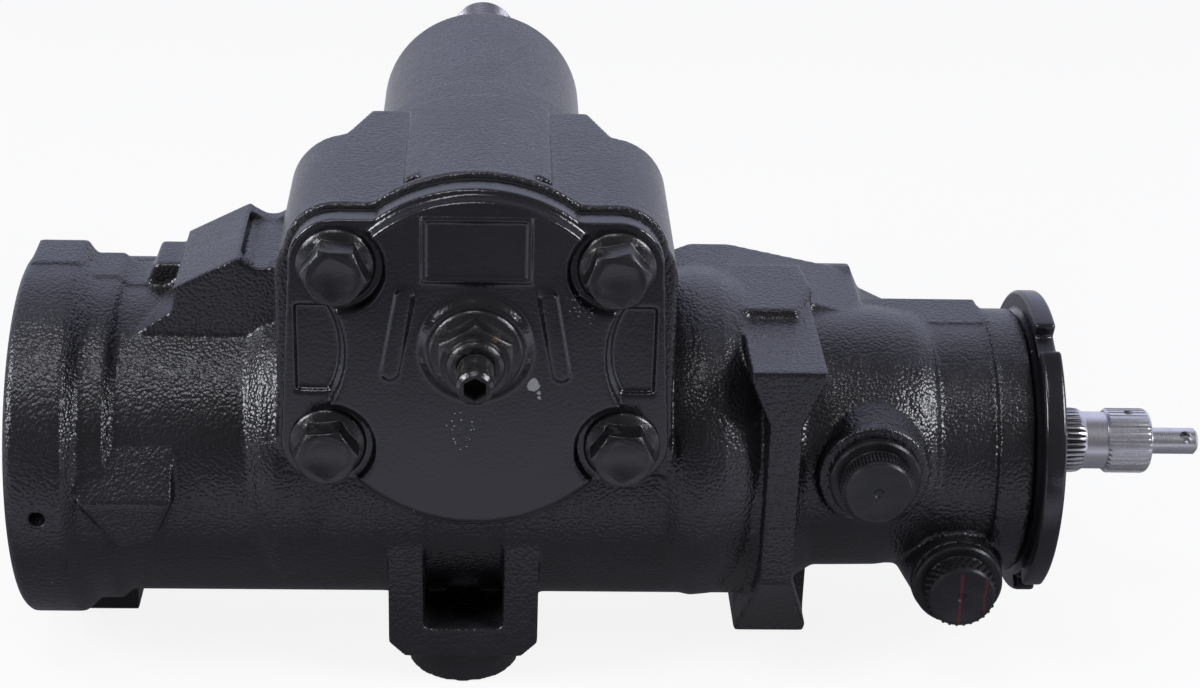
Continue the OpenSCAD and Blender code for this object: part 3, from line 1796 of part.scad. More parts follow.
module ball_guides() {
  color("#9fa1a5")
    at_worm()
      difference() {
        guide_run(guide_r);
        guide_run(guide_r - guide_wall);
        translate([0, 0, -nut_r])
          block([guide_x(0) - guide_r, -guide_r, -guide_wall], [guide_x(1) + guide_r, guide_r, guide_r]);
        block([guide_x(0) - 2 * guide_r, -seat_fit / 2, -bore_r],
          [guide_x(1) + 2 * guide_r, seat_fit / 2, 0]);
      }
}

module guide_clamp() {
  middle = (guide_x(0) + guide_x(1)) / 2;
  inner = guide_r + seat_fit;
  color("#8a8c90")
    at_worm()
      difference() {
        plate_x(middle - clamp_w / 2, middle + clamp_w / 2)
          polygon([
            [-clamp_half, -guide_flat],
            [-clamp_half, -guide_flat - clamp_thick],
            [-inner - clamp_thick, -guide_flat - clamp_thick],
            [-inner - clamp_thick, -clamp_out],
            [inner + clamp_thick, -clamp_out],
            [inner + clamp_thick, -guide_flat - clamp_thick],
            [clamp_half, -guide_flat - clamp_thick],
            [clamp_half, -guide_flat],
            [inner, -guide_flat],
            [inner, clamp_thick - clamp_out],
            [-inner, clamp_thick - clamp_out],
            [-inner, -guide_flat]
          ]);
        for (s = [-1, 1])
          translate([middle, s * clamp_screw_y, 0])
            rod_z(-guide_flat - clamp_thick - over, over - guide_flat, clamp_screw_r + seat_fit);
      }
}

module clamp_screws() {
  middle = (guide_x(0) + guide_x(1)) / 2;
  color("#4a4b4f")
    at_worm()
      for (s = [-1, 1])
        translate([middle, s * clamp_screw_y, 0]) {
          rod_z(-guide_flat - clamp_thick - clamp_head_h, -guide_flat - clamp_thick, 2 * clamp_screw_r);
          rod_z(-guide_flat - clamp_thick, guide_flat_wall / 2 - guide_flat, clamp_screw_r);
        }
}

module sector_shaft() {
  color("#84868a")
    at_worm()
      at_sector()
        difference() {
          union() {
            plate_y(sector_front, sector_back) {
              circle(r = root_r);
              for (i = [-1 : 1])
                polygon(sector_tooth(i * 360 / sector_divisions));
            }
            rod_y(sector_end, sector_front, sector_r);
            rod_y(sector_back, output_start, sector_r);
            plate_y(output_start, output_end)
              polygon(serration(output_r, output_depth, spline_teeth));
            rod_y(output_end, output_end + output_neck_len, output_neck_r);
            rod_y(output_end + output_neck_len, shaft_end, shaft_end_r);
          }
          rod_y(sector_end - over, keep_in, keep_r);
          rod_y(keep_in - over, lash_head_in + free_gap, lash_head_r + free_gap);
        }
}

module lash_retainer() {
  color("#6c6e72")
    at_worm()
      at_sector()
        tube_y(sector_end, keep_in, keep_r - seat_fit, lash_r + free_gap);
}

housing();
side_cover();
cover_gasket();
cover_bolts();
lash_adjuster();
lash_lock_nut();
cover_bushing();
end_plug();
end_plug_seal();
end_plug_ring();
adjuster_plug();
adjuster_lock_ring();
adjuster_seal();
stub_bearing();
stub_seal();
stub_dust_seal();
stub_keeper_ring();
upper_thrust_rollers();
upper_thrust_race();
adjuster_race();
lower_thrust_rollers();
lower_thrust_race();
worm_race();
sector_needle_bearing();
sector_inner_seal();
sector_outer_seal();
sector_seal_washers();
sector_keeper_ring();
pressure_seat();
return_seat();
pressure_plug();
return_plug();
worm_shaft();
valve_body();
valve_rings();
valve_drive_pin();
stub_shaft();
valve_spool();
spool_pin();
torsion_bar();
torsion_pin();
rack_piston();
piston_ring();
piston_ring_seal();
rack_plug();
recirculating_balls();
ball_guides();
guide_clamp();
clamp_screws();
sector_shaft();
lash_retainer();
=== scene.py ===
"""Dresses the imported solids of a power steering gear: castings, fasteners, shafts, finishes and studio."""
import json
import logging
import math
from contextlib import contextmanager
from dataclasses import dataclass
from enum import Enum
from typing import Any, Callable, Iterator, Mapping, Optional, Sequence, Union

import bpy
from bpy.types import Material, NodeSocket, Object, World
from mathutils import Matrix, Vector


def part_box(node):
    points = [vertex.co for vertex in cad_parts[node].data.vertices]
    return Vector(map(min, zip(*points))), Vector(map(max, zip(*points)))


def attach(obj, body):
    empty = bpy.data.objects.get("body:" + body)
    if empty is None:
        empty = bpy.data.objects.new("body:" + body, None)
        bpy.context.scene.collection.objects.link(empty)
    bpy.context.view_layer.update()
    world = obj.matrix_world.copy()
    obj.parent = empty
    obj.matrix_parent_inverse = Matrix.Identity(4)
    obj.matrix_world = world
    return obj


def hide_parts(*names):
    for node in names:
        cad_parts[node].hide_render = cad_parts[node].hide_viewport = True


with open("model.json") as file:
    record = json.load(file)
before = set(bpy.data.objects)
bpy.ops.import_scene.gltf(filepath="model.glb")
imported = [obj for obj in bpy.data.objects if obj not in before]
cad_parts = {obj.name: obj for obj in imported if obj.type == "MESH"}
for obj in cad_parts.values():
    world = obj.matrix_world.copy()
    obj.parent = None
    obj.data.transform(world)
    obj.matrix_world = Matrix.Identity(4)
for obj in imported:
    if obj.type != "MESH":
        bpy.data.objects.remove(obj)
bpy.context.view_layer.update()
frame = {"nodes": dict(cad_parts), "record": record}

LOG = logging.getLogger("steering_gear")
MM = 0.001
WORM_PLACE = Vector((3.0, 26.0, 58.0))
SECTOR_RISE = 55.5

Colour = tuple[float, float, float]
Point = tuple[float, float, float]
Station = tuple[float, float]


class Axis(Enum):
    """Direction along which a turned piece lies."""

    X = (0.0, math.pi / 2, 0.0)
    Y = (-math.pi / 2, 0.0, 0.0)
    Z = (0.0, 0.0, 0.0)


class Body(str, Enum):
    """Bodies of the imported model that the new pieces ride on."""

    HOUSING = "housing"
    INPUT = "input"
    SECTOR = "sector"


class Slot(str, Enum):
    """Material slots of the record."""

    CASTING = "black_casting"
    FASTENER = "black_fastener"
    BARE = "bare_steel"
    BEARING = "bearing_steel"
    PLAIN = "plain_steel"
    RUBBER = "rubber"
    RING = "ring_plastic"
    BRASS = "brass"
    PLUG = "plug_plastic"


def place(x: float, y: float, z: float) -> Vector:
    """Turns a point in millimetres from the worm axis into metres in the part's frame."""
    return (Vector((x, y, z)) + WORM_PLACE) * MM


WORM_AXIS: Station = (0.0, 0.0)
SECTOR_AXIS: Station = (0.0, SECTOR_RISE)
SECTOR_ORIGIN = place(0.0, 0.0, SECTOR_RISE)


def thread(pitch: float, foot: float, tip: float, share: float = 0.45) -> list[Station]:
    """Gives the three corners of a thread cutter."""
    half = pitch * share
    return [(-half, foot), (0.0, tip), (half, foot)]


class Bench:
    """Modelling steps shared by every piece."""

    @staticmethod
    def only(*objects: Object) -> None:
        """Selects only these objects and makes the first one active.

        Args:
            objects: The objects to select.
        """
        bpy.ops.object.select_all(action="DESELECT")
        for item in objects:
            item.select_set(True)
        bpy.context.view_layer.objects.active = objects[0]

    @staticmethod
    @contextmanager
    def edit(obj: Object) -> Iterator[None]:
        """Opens an object in edit mode with everything selected.

        Args:
            obj: The object to edit.
        """
        Bench.only(obj)
        bpy.ops.object.mode_set(mode="EDIT")
        bpy.ops.mesh.select_all(action="SELECT")
        yield
        bpy.ops.object.mode_set(mode="OBJECT")

    @staticmethod
    def settle(obj: Object) -> Object:
        """Writes an object's place into its mesh.

        Args:
            obj: The object to settle.

        Returns:
            The same object, at the origin.
        """
        Bench.only(obj)
        bpy.ops.object.transform_apply(location=True, rotation=True, scale=True)
        return obj

    @staticmethod
    def modify(obj: Object, kind: str, **settings: Any) -> None:
        """Adds a modifier and applies it.

        Args:
            obj: The object to change.
            kind: Type of the modifier.
            settings: Values of the modifier.
        """
        Bench.only(obj)
        modifier = obj.modifiers.new(kind.lower(), kind)
        for name, value in settings.items():
            setattr(modifier, name, value)
        bpy.ops.object.modifier_apply(modifier=modifier.name)

    @staticmethod
    def lay(obj: Object, axis: Axis, origin: Vector, merge: float) -> Object:
        """Lays an object along an axis, merges doubled points and turns the faces outwards.

        Args:
            obj: The object, made along Z.
            axis: Direction that it gets.
            origin: Place that it gets, in metres.
            merge: Largest distance between doubled points.

        Returns:
            The same object.
        """
        obj.location = origin
        obj.rotation_euler = axis.value
        with Bench.edit(Bench.settle(obj)):
            bpy.ops.mesh.remove_doubles(threshold=merge)
            bpy.ops.mesh.normals_make_consistent(inside=False)
        return obj

    @staticmethod
    def join(target: Object, others: Sequence[Object]) -> Object:
        """Joins objects into one mesh.

        Args:
            target: The object that stays.
            others: The objects that go into it.

        Returns:
            The joined object.
        """
        if others:
            Bench.only(target, *others)
            bpy.ops.object.join()
        return target

    @staticmethod
    def combine(obj: Object, tool: Object, operation: str = "DIFFERENCE") -> None:
        """Cuts, unites or intersects an object with a tool that is then removed."""
        Bench.modify(obj, "BOOLEAN", operation=operation, solver="MANIFOLD", object=tool)
        bpy.data.objects.remove(tool)

    @staticmethod
    def cut(obj: Object, tools: Sequence[Object]) -> None:
        """Cuts an object with tools that do not meet each other."""
        Bench.combine(obj, Bench.join(tools[0], tools[1:]))

    @staticmethod
    def added(name: str, operator: Callable[..., Any], **settings: Any) -> Object:
        """Adds a starting shape.

        Args:
            name: Name of the object.
            operator: The operator that adds the shape.
            settings: Values of the operator.

        Returns:
            The new object.
        """
        bpy.ops.object.select_all(action="DESELECT")
        operator(**settings)
        obj = bpy.context.object
        obj.name = name
        return obj

    @staticmethod
    def rod(
        name: str, axis: Axis, centre: Vector, length: float, radius: float, sides: int = 96
    ) -> Object:
        """Adds a round bar.

        Args:
            name: Name of the object.
            axis: Direction of the bar.
            centre: Its middle, in metres.
            length: Its length in millimetres.
            radius: Its radius in millimetres.
            sides: Number of its sides.

        Returns:
            The bar.
        """
        obj = Bench.added(
            name, bpy.ops.mesh.primitive_cylinder_add, vertices=sides, radius=radius * MM, depth=length * MM,
            location=centre, rotation=axis.value,
        )
        return Bench.settle(obj)

    @staticmethod
    def block(name: str, low: Vector, high: Vector) -> Object:
        """Adds a square bar between two corners.

        Args:
            name: Name of the object.
            low: Its lowest corner, in metres.
            high: Its highest corner, in metres.

        Returns:
            The bar.
        """
        obj = Bench.added(name, bpy.ops.mesh.primitive_cube_add, size=1.0, location=(low + high) / 2)
        obj.scale = high - low
        return Bench.settle(obj)

    @staticmethod
    def turned(
        name: str, axis: Axis, origin: Vector, stations: Sequence[Station], sides: int = 72
    ) -> Object:
        """Turns a closed body by extruding and resizing a disc along an axis.

        Args:
            name: Name of the object.
            axis: Direction of the body.
            origin: Point of the axis that the positions count from, in metres.
            stations: Positions along the axis and radii, in millimetres.
            sides: Number of sides around the axis.

        Returns:
            The turned body.
        """
        start, radius = stations[0]
        obj = Bench.added(
            name, bpy.ops.mesh.primitive_circle_add, vertices=sides, radius=radius * MM, fill_type="NGON"
        )
        with Bench.edit(obj):
            bpy.ops.transform.translate(value=(0.0, 0.0, start * MM))
            for position, next_radius in stations[1:]:
                rise = (position - start) * MM
                bpy.ops.mesh.extrude_region_move(TRANSFORM_OT_translate={"value": (0.0, 0.0, rise)})
                ratio = next_radius / radius
                bpy.ops.transform.resize(value=(ratio, ratio, 1.0), center_override=(0.0, 0.0, position * MM))
                start, radius = position, next_radius
        return Bench.lay(obj, axis, origin, 1e-7)

    @staticmethod
    def helix(
        name: str,
        axis: Axis,
        origin: Vector,
        profile: Sequence[Station],
        pitch: float,
        turns: int,
        steps: int = 40,
    ) -> Object:
        """Winds a three-cornered bar into a thread.

        Args:
            name: Name of the object.
            axis: Direction of the thread.
            origin: Point where the thread starts, in metres.
            profile: Three corners as offset along the axis and radius, in millimetres.
            pitch: Rise of one turn in millimetres.
            turns: Number of turns.
            steps: Steps of one turn.

        Returns:
            The closed bar.
        """
        corners = len(profile)
        obj = Bench.added(
            name, bpy.ops.mesh.primitive_circle_add, vertices=corners, radius=1.0, fill_type="NOTHING"
        )
        for vertex, (offset, radius) in zip(obj.data.vertices, profile):
            vertex.co = (radius * MM, 0.0, offset * MM)
        Bench.modify(
            obj, "SCREW", axis="Z", screw_offset=pitch * MM, iterations=turns, steps=steps,
            render_steps=steps, use_merge_vertices=False,
        )
        with Bench.edit(obj):
            bpy.ops.mesh.fill_holes(sides=corners)
        return Bench.lay(obj, axis, origin, 1e-8)

    @staticmethod
    def copy_node(node: str, name: str) -> Object:
        """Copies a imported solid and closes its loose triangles.

        Args:
            node: Name of the solid.
            name: Name of the copy.

        Returns:
            The copy, with its own mesh.
        """
        mesh = frame["nodes"][node].data.copy()
        mesh.materials.clear()
        obj = bpy.data.objects.new(name, mesh)
        bpy.context.scene.collection.objects.link(obj)
        with Bench.edit(obj):
            bpy.ops.mesh.remove_doubles(threshold=1e-6)
            bpy.ops.mesh.customdata_custom_splitnormals_clear()
        return obj

    @staticmethod
    def edged(node: str, name: str, width: float, segments: int = 2) -> Object:
        """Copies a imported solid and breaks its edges.

        Args:
            node: Name of the solid.
            name: Name of the copy.
            width: Width of the broken edges in millimetres.
            segments: Number of steps across an edge.

        Returns:
            The copy.
        """
        copy = Bench.copy_node(node, name)
        Bench.soften(copy, width, segments)
        return copy

    @staticmethod
    def twin(obj: Object, name: str, move: Matrix) -> Object:
        """Copies a piece to another place with a mesh of its own.

        Args:
            obj: The piece to copy.
            name: Name of the copy.
            move: Way from the piece to the copy, in metres.

        Returns:
            The copy.
        """
        copy = bpy.data.objects.new(name, obj.data.copy())
        bpy.context.scene.collection.objects.link(copy)
        copy.matrix_world = move
        return Bench.settle(copy)

    @staticmethod
    def soften(obj: Object, width: float, segments: int = 2, angle: float = 35.0) -> None:
        """Breaks the sharp edges of a piece and shades it.

        Args:
            obj: The piece.
            width: Width of the broken edge in millimetres.
            segments: Number of steps across the edge.
            angle: Smallest angle of an edge that is broken, in degrees.
        """
        with Bench.edit(obj):
            bpy.ops.mesh.dissolve_limited(angle_limit=math.radians(0.4))
        Bench.modify(
            obj, "BEVEL", width=width * MM, segments=segments, limit_method="ANGLE",
            angle_limit=math.radians(angle), use_clamp_overlap=True, harden_normals=False,
        )
        Bench.shade(obj, angle)

    @staticmethod
    def shade(obj: Object, angle: float = 35.0) -> None:
        """Shades a piece smoothly up to an angle."""
        Bench.only(obj)
        bpy.ops.object.shade_smooth_by_angle(angle=math.radians(angle))


@dataclass(frozen=True)
class Skin:
    """How a rounded cast skin is drawn: voxel in millimetres, rounds of smoothing and triangles."""

    voxel: float
    smoothing: int
    triangles: int

    def draw(self, obj: Object) -> None:
        """Draws one rounded skin over all that was joined into an object.

        Args:
            obj: The object.
        """
        Bench.modify(obj, "REMESH", mode="VOXEL", voxel_size=self.voxel * MM, adaptivity=0.0)
        Bench.modify(obj, "SMOOTH", factor=0.5, iterations=self.smoothing)
        ratio = self.triangles / (2 * len(obj.data.polygons))
        Bench.modify(obj, "DECIMATE", ratio=min(1.0, ratio))


@dataclass(frozen=True)
class Chip:
    """A ragged round spot in a finish, in millimetres from the worm axis."""

    centre: Point
    radius: float
    ragged: float = 1.4


@dataclass(frozen=True)
class Stroke:
    """A paint stroke: its middle beside and above the mark's place, its half width and half height."""

    left: float
    low: float
    width: float
    length: float


class Signal:
    """A shader socket that takes part in Python expressions."""

    def __init__(self, graph: "Graph", socket: NodeSocket) -> None:
        """Keeps the socket and the graph that it belongs to."""
        self.graph = graph
        self.socket = socket

    def __add__(self, other: "Value") -> "Signal":
        """Adds a value."""
        return self.graph.math("ADD", self, other)

    def __mul__(self, other: "Value") -> "Signal":
        """Multiplies by a value."""
        return self.graph.math("MULTIPLY", self, other)

    def __sub__(self, other: "Value") -> "Signal":
        """Takes a value away."""
        return self.graph.math("SUBTRACT", self, other)

    def __rsub__(self, other: "Value") -> "Signal":
        """Is taken away from a value."""
        return self.graph.math("SUBTRACT", other, self)

    def __lt__(self, other: "Value") -> "Signal":
        """Is one where the socket is below a value."""
        return self.graph.math("LESS_THAN", self, other)

    def __gt__(self, other: "Value") -> "Signal":
        """Is one where the socket is above a value."""
        return self.graph.math("GREATER_THAN", self, other)

    def __abs__(self) -> "Signal":
        """Drops the sign."""
        return self.graph.math("ABSOLUTE", self)


Value = Union[Signal, float]


class Graph:
    """Node tree of one material or of the world."""

    def __init__(self, owner: Union[Material, World]) -> None:
        """Empties the owner's tree.

        Args:
            owner: The material or the world.
        """
        self.owner = owner
        owner.use_nodes = True
        self.tree = owner.node_tree
        self.tree.nodes.clear()

    @classmethod
    def named(cls, name: str) -> "Graph":
        """Starts a new material."""
        return cls(bpy.data.materials.new(name))

    def node(
        self,
        kind: str,
        settings: Optional[Mapping[str, Any]] = None,
        inputs: Optional[Mapping[Union[str, int], Any]] = None,
        output: Union[str, int] = 0,
    ) -> Signal:
        """Adds a node, sets it and feeds its sockets.

        Args:
            kind: Type of the node.
            settings: Settings of the node.
            inputs: Values or signals of its sockets.
            output: The socket that is returned.

        Returns:
            The chosen output as a signal.
        """
        item = self.tree.nodes.new(kind)
        for name, value in (settings or {}).items():
            setattr(item, name, value)
        for name, value in (inputs or {}).items():
            socket = item.inputs[name]
            if isinstance(value, Signal):
                self.tree.links.new(value.socket, socket)
            elif isinstance(value, tuple) and socket.type == "RGBA":
                socket.default_value = (*value, 1.0)
            else:
                socket.default_value = value
        return Signal(self, item.outputs[output] if len(item.outputs) else None)

    def math(self, operation: str, *values: Value) -> Signal:
        """Adds a Math node."""
        return self.node("ShaderNodeMath", {"operation": operation}, dict(enumerate(values)))

    def coordinates(self) -> Signal:
        """Returns the place on the piece in metres."""
        return self.node("ShaderNodeTexCoord", output="Object")

    def split(self, vector: Signal) -> tuple[Signal, Signal, Signal]:
        """Takes a vector apart."""
        parts = self.node("ShaderNodeSeparateXYZ", inputs={0: vector}).socket.node
        return tuple(Signal(self, socket) for socket in parts.outputs)

    def axes(self) -> tuple[Signal, Signal, Signal]:
        """Returns the three coordinates of the place on the piece."""
        return self.split(self.coordinates())

    def noise(self, scale: float, detail: float = 2.0, rough: float = 0.5, twist: float = 0.0) -> Signal:
        """Adds soft noise over the piece.

        Args:
            scale: Waves for one metre.
            detail: Number of finer layers.
            rough: Strength of the finer layers.
            twist: Distortion of the waves.

        Returns:
            The noise, from 0 to 1.
        """
        return self.node(
            "ShaderNodeTexNoise",
            inputs={"Vector": self.coordinates(), "Scale": scale, "Detail": detail, "Roughness": rough,
                    "Distortion": twist},
        )

    def lines(self, axis: int, scale: float) -> Signal:
        """Adds fine tool lines across one axis.

        Args:
            axis: Number of the axis that the lines run around.
            scale: Lines for one metre.

        Returns:
            The lines, from 0 to 1.
        """
        return self.node(
            "ShaderNodeTexNoise", {"noise_dimensions": "1D"},
            {"W": self.axes()[axis], "Scale": scale, "Detail": 3.0, "Roughness": 0.6},
        )

    def pebbles(self, scale: float, output: str = "Distance") -> Signal:
        """Adds rounded cells over the piece.

        Args:
            scale: Cells for one metre.
            output: Which value of the cells is wanted.

        Returns:
            Distance from the middle of the nearest cell, or the cell's colour.
        """
        return self.node(
            "ShaderNodeTexVoronoi", {"feature": "F1"},
            {"Vector": self.coordinates(), "Scale": scale, "Randomness": 1.0}, output,
        )

    def step(self, signal: Signal, low: float, high: float) -> Signal:
        """Maps a signal smoothly from 0 at low to 1 at high.

        Args:
            signal: The signal.
            low: Value that gives 0.
            high: Value that gives 1.

        Returns:
            The mapped signal.
        """
        return self.node(
            "ShaderNodeMapRange", {"interpolation_type": "SMOOTHSTEP"},
            {"Value": signal, "From Min": low, "From Max": high, "To Min": 0.0, "To Max": 1.0},
        )

    def spread(self, signal: Signal, low: float, high: float) -> Signal:
        """Maps a signal from the range 0 to 1 onto another range."""
        return signal * (high - low) + low

    def mix(self, factor: Value, first: Union[Signal, Colour], second: Union[Signal, Colour]) -> Signal:
        """Mixes two colours.

        Args:
            factor: Share of the second colour.
            first: The first colour.
            second: The second colour.

        Returns:
            The mixed colour.
        """
        return self.node(
            "ShaderNodeMix", {"data_type": "RGBA", "clamp_factor": True}, {0: factor, 6: first, 7: second}, 2
        )

    def bump(self, height: Signal, depth: float) -> Signal:
        """Turns a height into a surface normal."""
        return self.node("ShaderNodeBump", inputs={"Strength": 1.0, "Distance": depth * MM, "Height": height})

    def upward(self) -> Signal:
        """Returns how far the surface faces up, from -1 to 1."""
        return self.split(self.node("ShaderNodeNewGeometry", output="Normal"))[2]

    def edges(self) -> Signal:
        """Returns a value above one half on ridges and below it in hollows."""
        return self.node("ShaderNodeNewGeometry", output="Pointiness")

    def spot(self, chip: Chip) -> Signal:
        """Marks a ragged round spot.

        Args:
            chip: The spot.

        Returns:
            One inside the spot and 0 outside.
        """
        inputs = {0: self.coordinates(), 1: place(*chip.centre)}
        distance = self.node("ShaderNodeVectorMath", {"operation": "DISTANCE"}, inputs, "Value")
        rim = (self.noise(700.0, 3.0, 0.6) - 0.5) * (2.0 * chip.ragged * MM)
        return self.step(distance + rim, chip.radius * MM, (chip.radius - 0.3) * MM)

    def finish(self, **sockets: Any) -> Material:
        """Closes the tree with a surface shader."""
        named = {name.replace("_", " "): value for name, value in sockets.items()}
        return self.close(self.node("ShaderNodeBsdfPrincipled", inputs=named))

    def close(self, shader: Signal) -> Material:
        """Puts a shader on the surface."""
        self.node("ShaderNodeOutputMaterial", inputs={"Surface": shader})
        return self.owner


@dataclass(frozen=True)
class CastPaint:
    """Gloss black paint over a sand-cast skin."""

    name: str
    grain: float = 0.34
    pebble: float = 0.55
    deep: Colour = (0.0095, 0.0095, 0.0108)
    thin: Colour = (0.0165, 0.0163, 0.0185)
    # Colour of settled dust, also used for the painted highlight along convex edges.
    dust_and_sheen: Colour = (0.060, 0.058, 0.066)
    # Colour of bare iron in chips and specks, also used for the painted glints on blister tips.
    bare_and_glint: Colour = (0.46, 0.45, 0.45)
    gloss: tuple[float, float] = (0.18, 0.30)
    shine: float = 0.8
    dusting: float = 0.22
    chips: tuple[Chip, ...] = ()
    pitted: tuple[Chip, ...] = ()

    def material(self) -> Material:
        """Builds the paint.

        Returns:
            The material.
        """
        graph = Graph.named(self.name)
        blotch = graph.noise(24.0, 4.0, 0.6)
        peel = graph.noise(1050.0, 3.0, 0.55, 0.3)
        fine = graph.noise(2600.0, 2.0, 0.5)
        sand = 1.0 - graph.pebbles(1000.0)
        height = peel * 0.26 + sand * self.pebble + fine * 0.10
        colour = graph.mix(graph.step(blotch, 0.35, 0.70), self.deep, self.thin)
        settled = graph.step(graph.upward(), 0.25, 0.95) * graph.step(graph.noise(60.0, 5.0, 0.7), 0.30, 0.75)
        colour = graph.mix(settled * self.dusting, colour, self.dust_and_sheen)
        # Lightens convex edges towards the dust colour: partly thin paint on the edges, partly a painted
        # highlight.
        edge_wear_and_highlight = graph.step(graph.edges(), 0.53, 0.60) * graph.step(graph.noise(180.0, 4.0, 0.65), 0.42, 0.66)
        colour = graph.mix(edge_wear_and_highlight * 0.30, colour, self.dust_and_sheen)
        cells = graph.node("ShaderNodeSeparateColor", inputs={0: graph.pebbles(300.0, "Color")})
        specks = (graph.pebbles(300.0) < 0.075) * (cells > 0.965)
        colour = graph.mix(specks * 0.6, colour, self.bare_and_glint)
        roughness = graph.spread(blotch * 0.6 + fine * 0.4, *self.gloss) + settled * 0.10
        for chip in self.chips:
            mask = graph.spot(chip)
            colour = graph.mix(mask, colour, self.bare_and_glint)
            roughness = roughness + mask * 0.3
        for pit in self.pitted:
            mask = graph.spot(pit)
            blister = graph.pebbles(880.0)
            height = height + mask * graph.step(blister, 0.36, 0.10) * 2.0
            # Paints the blister tips pale: partly bare metal, partly a painted glint.
            colour = graph.mix(mask * graph.step(blister, 0.24, 0.10) * 0.7, colour, self.bare_and_glint)
        normal = graph.bump(height, self.grain)
        return graph.finish(
            Base_Color=colour, Roughness=roughness, Normal=normal, Specular_IOR_Level=self.shine
        )


@dataclass(frozen=True)
class TurnedPaint:
    """Black paint over turned steel, thin on its edges."""

    name: str
    deep: Colour = (0.0090, 0.0090, 0.0098)
    thin: Colour = (0.0180, 0.0172, 0.0180)
    worn: Colour = (0.10, 0.088, 0.070)
    stain: Colour = (0.12, 0.072, 0.022)
    gloss: tuple[float, float] = (0.16, 0.30)
    shine: float = 0.8
    wear: float = 0.45
    stains: tuple[Chip, ...] = ()

    def material(self) -> Material:
        """Builds the paint.

        Returns:
            The material.
        """
        graph = Graph.named(self.name)
        blotch = graph.noise(150.0, 4.0, 0.6)
        fine = graph.noise(1300.0, 3.0, 0.6)
        colour = graph.mix(graph.step(blotch, 0.35, 0.70), self.deep, self.thin)
        rubbed = graph.step(graph.edges(), 0.52, 0.60) * graph.step(graph.noise(420.0, 4.0, 0.7), 0.44, 0.62)
        colour = graph.mix(rubbed * self.wear, colour, self.worn)
        for stain in self.stains:
            colour = graph.mix(graph.spot(stain) * 0.8, colour, self.stain)
        roughness = graph.spread(blotch * 0.5 + fine * 0.5, *self.gloss)
        normal = graph.bump(fine, 0.10)
        return graph.finish(
            Base_Color=colour, Roughness=roughness, Normal=normal, Specular_IOR_Level=self.shine
        )


@dataclass(frozen=True)
class Steel:
    """Bare steel with tool lines and a little staining."""

    name: str
    light: Colour = (0.88, 0.87, 0.89)
    dark: Colour = (0.62, 0.61, 0.63)
    stain: Colour = (0.22, 0.17, 0.12)
    gloss: tuple[float, float] = (0.20, 0.38)
    axis: int = 0
    line_scale: float = 3200.0
    staining: float = 0.25
    hollow_colour: Colour = (0.07, 0.065, 0.06)
    serrated: tuple[Station, ...] = ()
    metallic: float = 1.0

    def material(self) -> Material:
        """Builds the steel.

        Returns:
            The material.
        """
        graph = Graph.named(self.name)
        lines = graph.lines(self.axis, self.line_scale)
        cloud = graph.noise(130.0, 4.0, 0.6)
        colour = graph.mix(graph.spread(cloud, 0.0, 0.7), self.light, self.dark)
        spots = graph.step(graph.noise(240.0, 5.0, 0.7, 0.5), 0.58, 0.74)
        colour = graph.mix(spots * self.staining, colour, self.stain)
        # Darkens the hollows of the serrations and threads.
        for span in self.serrated:
            start, end = ((value + WORM_PLACE[self.axis]) * MM for value in span)
            along = graph.axes()[self.axis]
            hollow = graph.step(graph.edges(), 0.50, 0.465) * (along > start) * (along < end)
            colour = graph.mix(hollow * 0.9, colour, self.hollow_colour)
        roughness = graph.spread(lines * 0.6 + cloud * 0.4, *self.gloss) + spots * 0.2
        return graph.finish(
            Base_Color=colour, Metallic=self.metallic, Roughness=roughness, Normal=graph.bump(lines, 0.012)
        )


@dataclass(frozen=True)
class Moulded:
    """Moulded rubber or plastic with a fine skin."""

    name: str
    base: Colour
    pale: Colour
    gloss: tuple[float, float] = (0.45, 0.65)
    skin: float = 0.05
    skin_scale: float = 1400.0
    marks: tuple[Stroke, ...] = ()
    mark_place: Point = (0.0, 0.0, 0.0)
    mark_colour: Colour = (0.13, 0.014, 0.017)

    def material(self) -> Material:
        """Builds the moulded skin, with paint strokes where it has any.

        Returns:
            The material.
        """
        graph = Graph.named(self.name)
        cloud = graph.noise(110.0, 4.0, 0.6)
        fine = graph.noise(self.skin_scale, 3.0, 0.6)
        colour = graph.mix(graph.step(cloud, 0.35, 0.72), self.base, self.pale)
        if self.marks:
            colour = graph.mix(self.strokes(graph), colour, self.mark_colour)
        roughness = graph.spread(cloud * 0.5 + fine * 0.5, *self.gloss)
        return graph.finish(Base_Color=colour, Roughness=roughness, Normal=graph.bump(fine, self.skin))

    def strokes(self, graph: Graph) -> Signal:
        """Marks the hand-drawn paint strokes.

        Args:
            graph: The material's node tree.

        Returns:
            The strokes as a mask.
        """
        centre = place(*self.mark_place)
        x, _, z = graph.axes()
        wobble = (graph.noise(260.0, 2.0, 0.5) - 0.5) * (1.6 * MM)
        patchy = graph.step(graph.noise(260.0, 3.0, 0.6), 0.26, 0.46)
        total: Optional[Signal] = None
        for mark in self.marks:
            across = abs(x - (centre.x + mark.left * MM) + wobble) < mark.width * MM
            along = abs(z - (centre.z + mark.low * MM)) < mark.length * MM
            stroke = across * along
            total = stroke if total is None else total + stroke
        return graph.step(total, 0.0, 1.0) * patchy * 0.8


@dataclass
class Piece:
    """A finished piece and what it stands for."""

    obj: Object
    body: Body
    slot: Slot
    nodes: tuple[str, ...] = ()

    def hand_over(self, material: Material) -> None:
        """Gives the piece its finish and hangs it on its body.

        Args:
            material: The finish.
        """
        self.obj.data.materials.clear()
        self.obj.data.materials.append(material)
        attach(self.obj, self.body.value)
        if self.nodes:
            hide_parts(*self.nodes)
        LOG.info("%s rides on %s for %s", self.obj.name, self.body.value, ", ".join(self.nodes) or "itself")


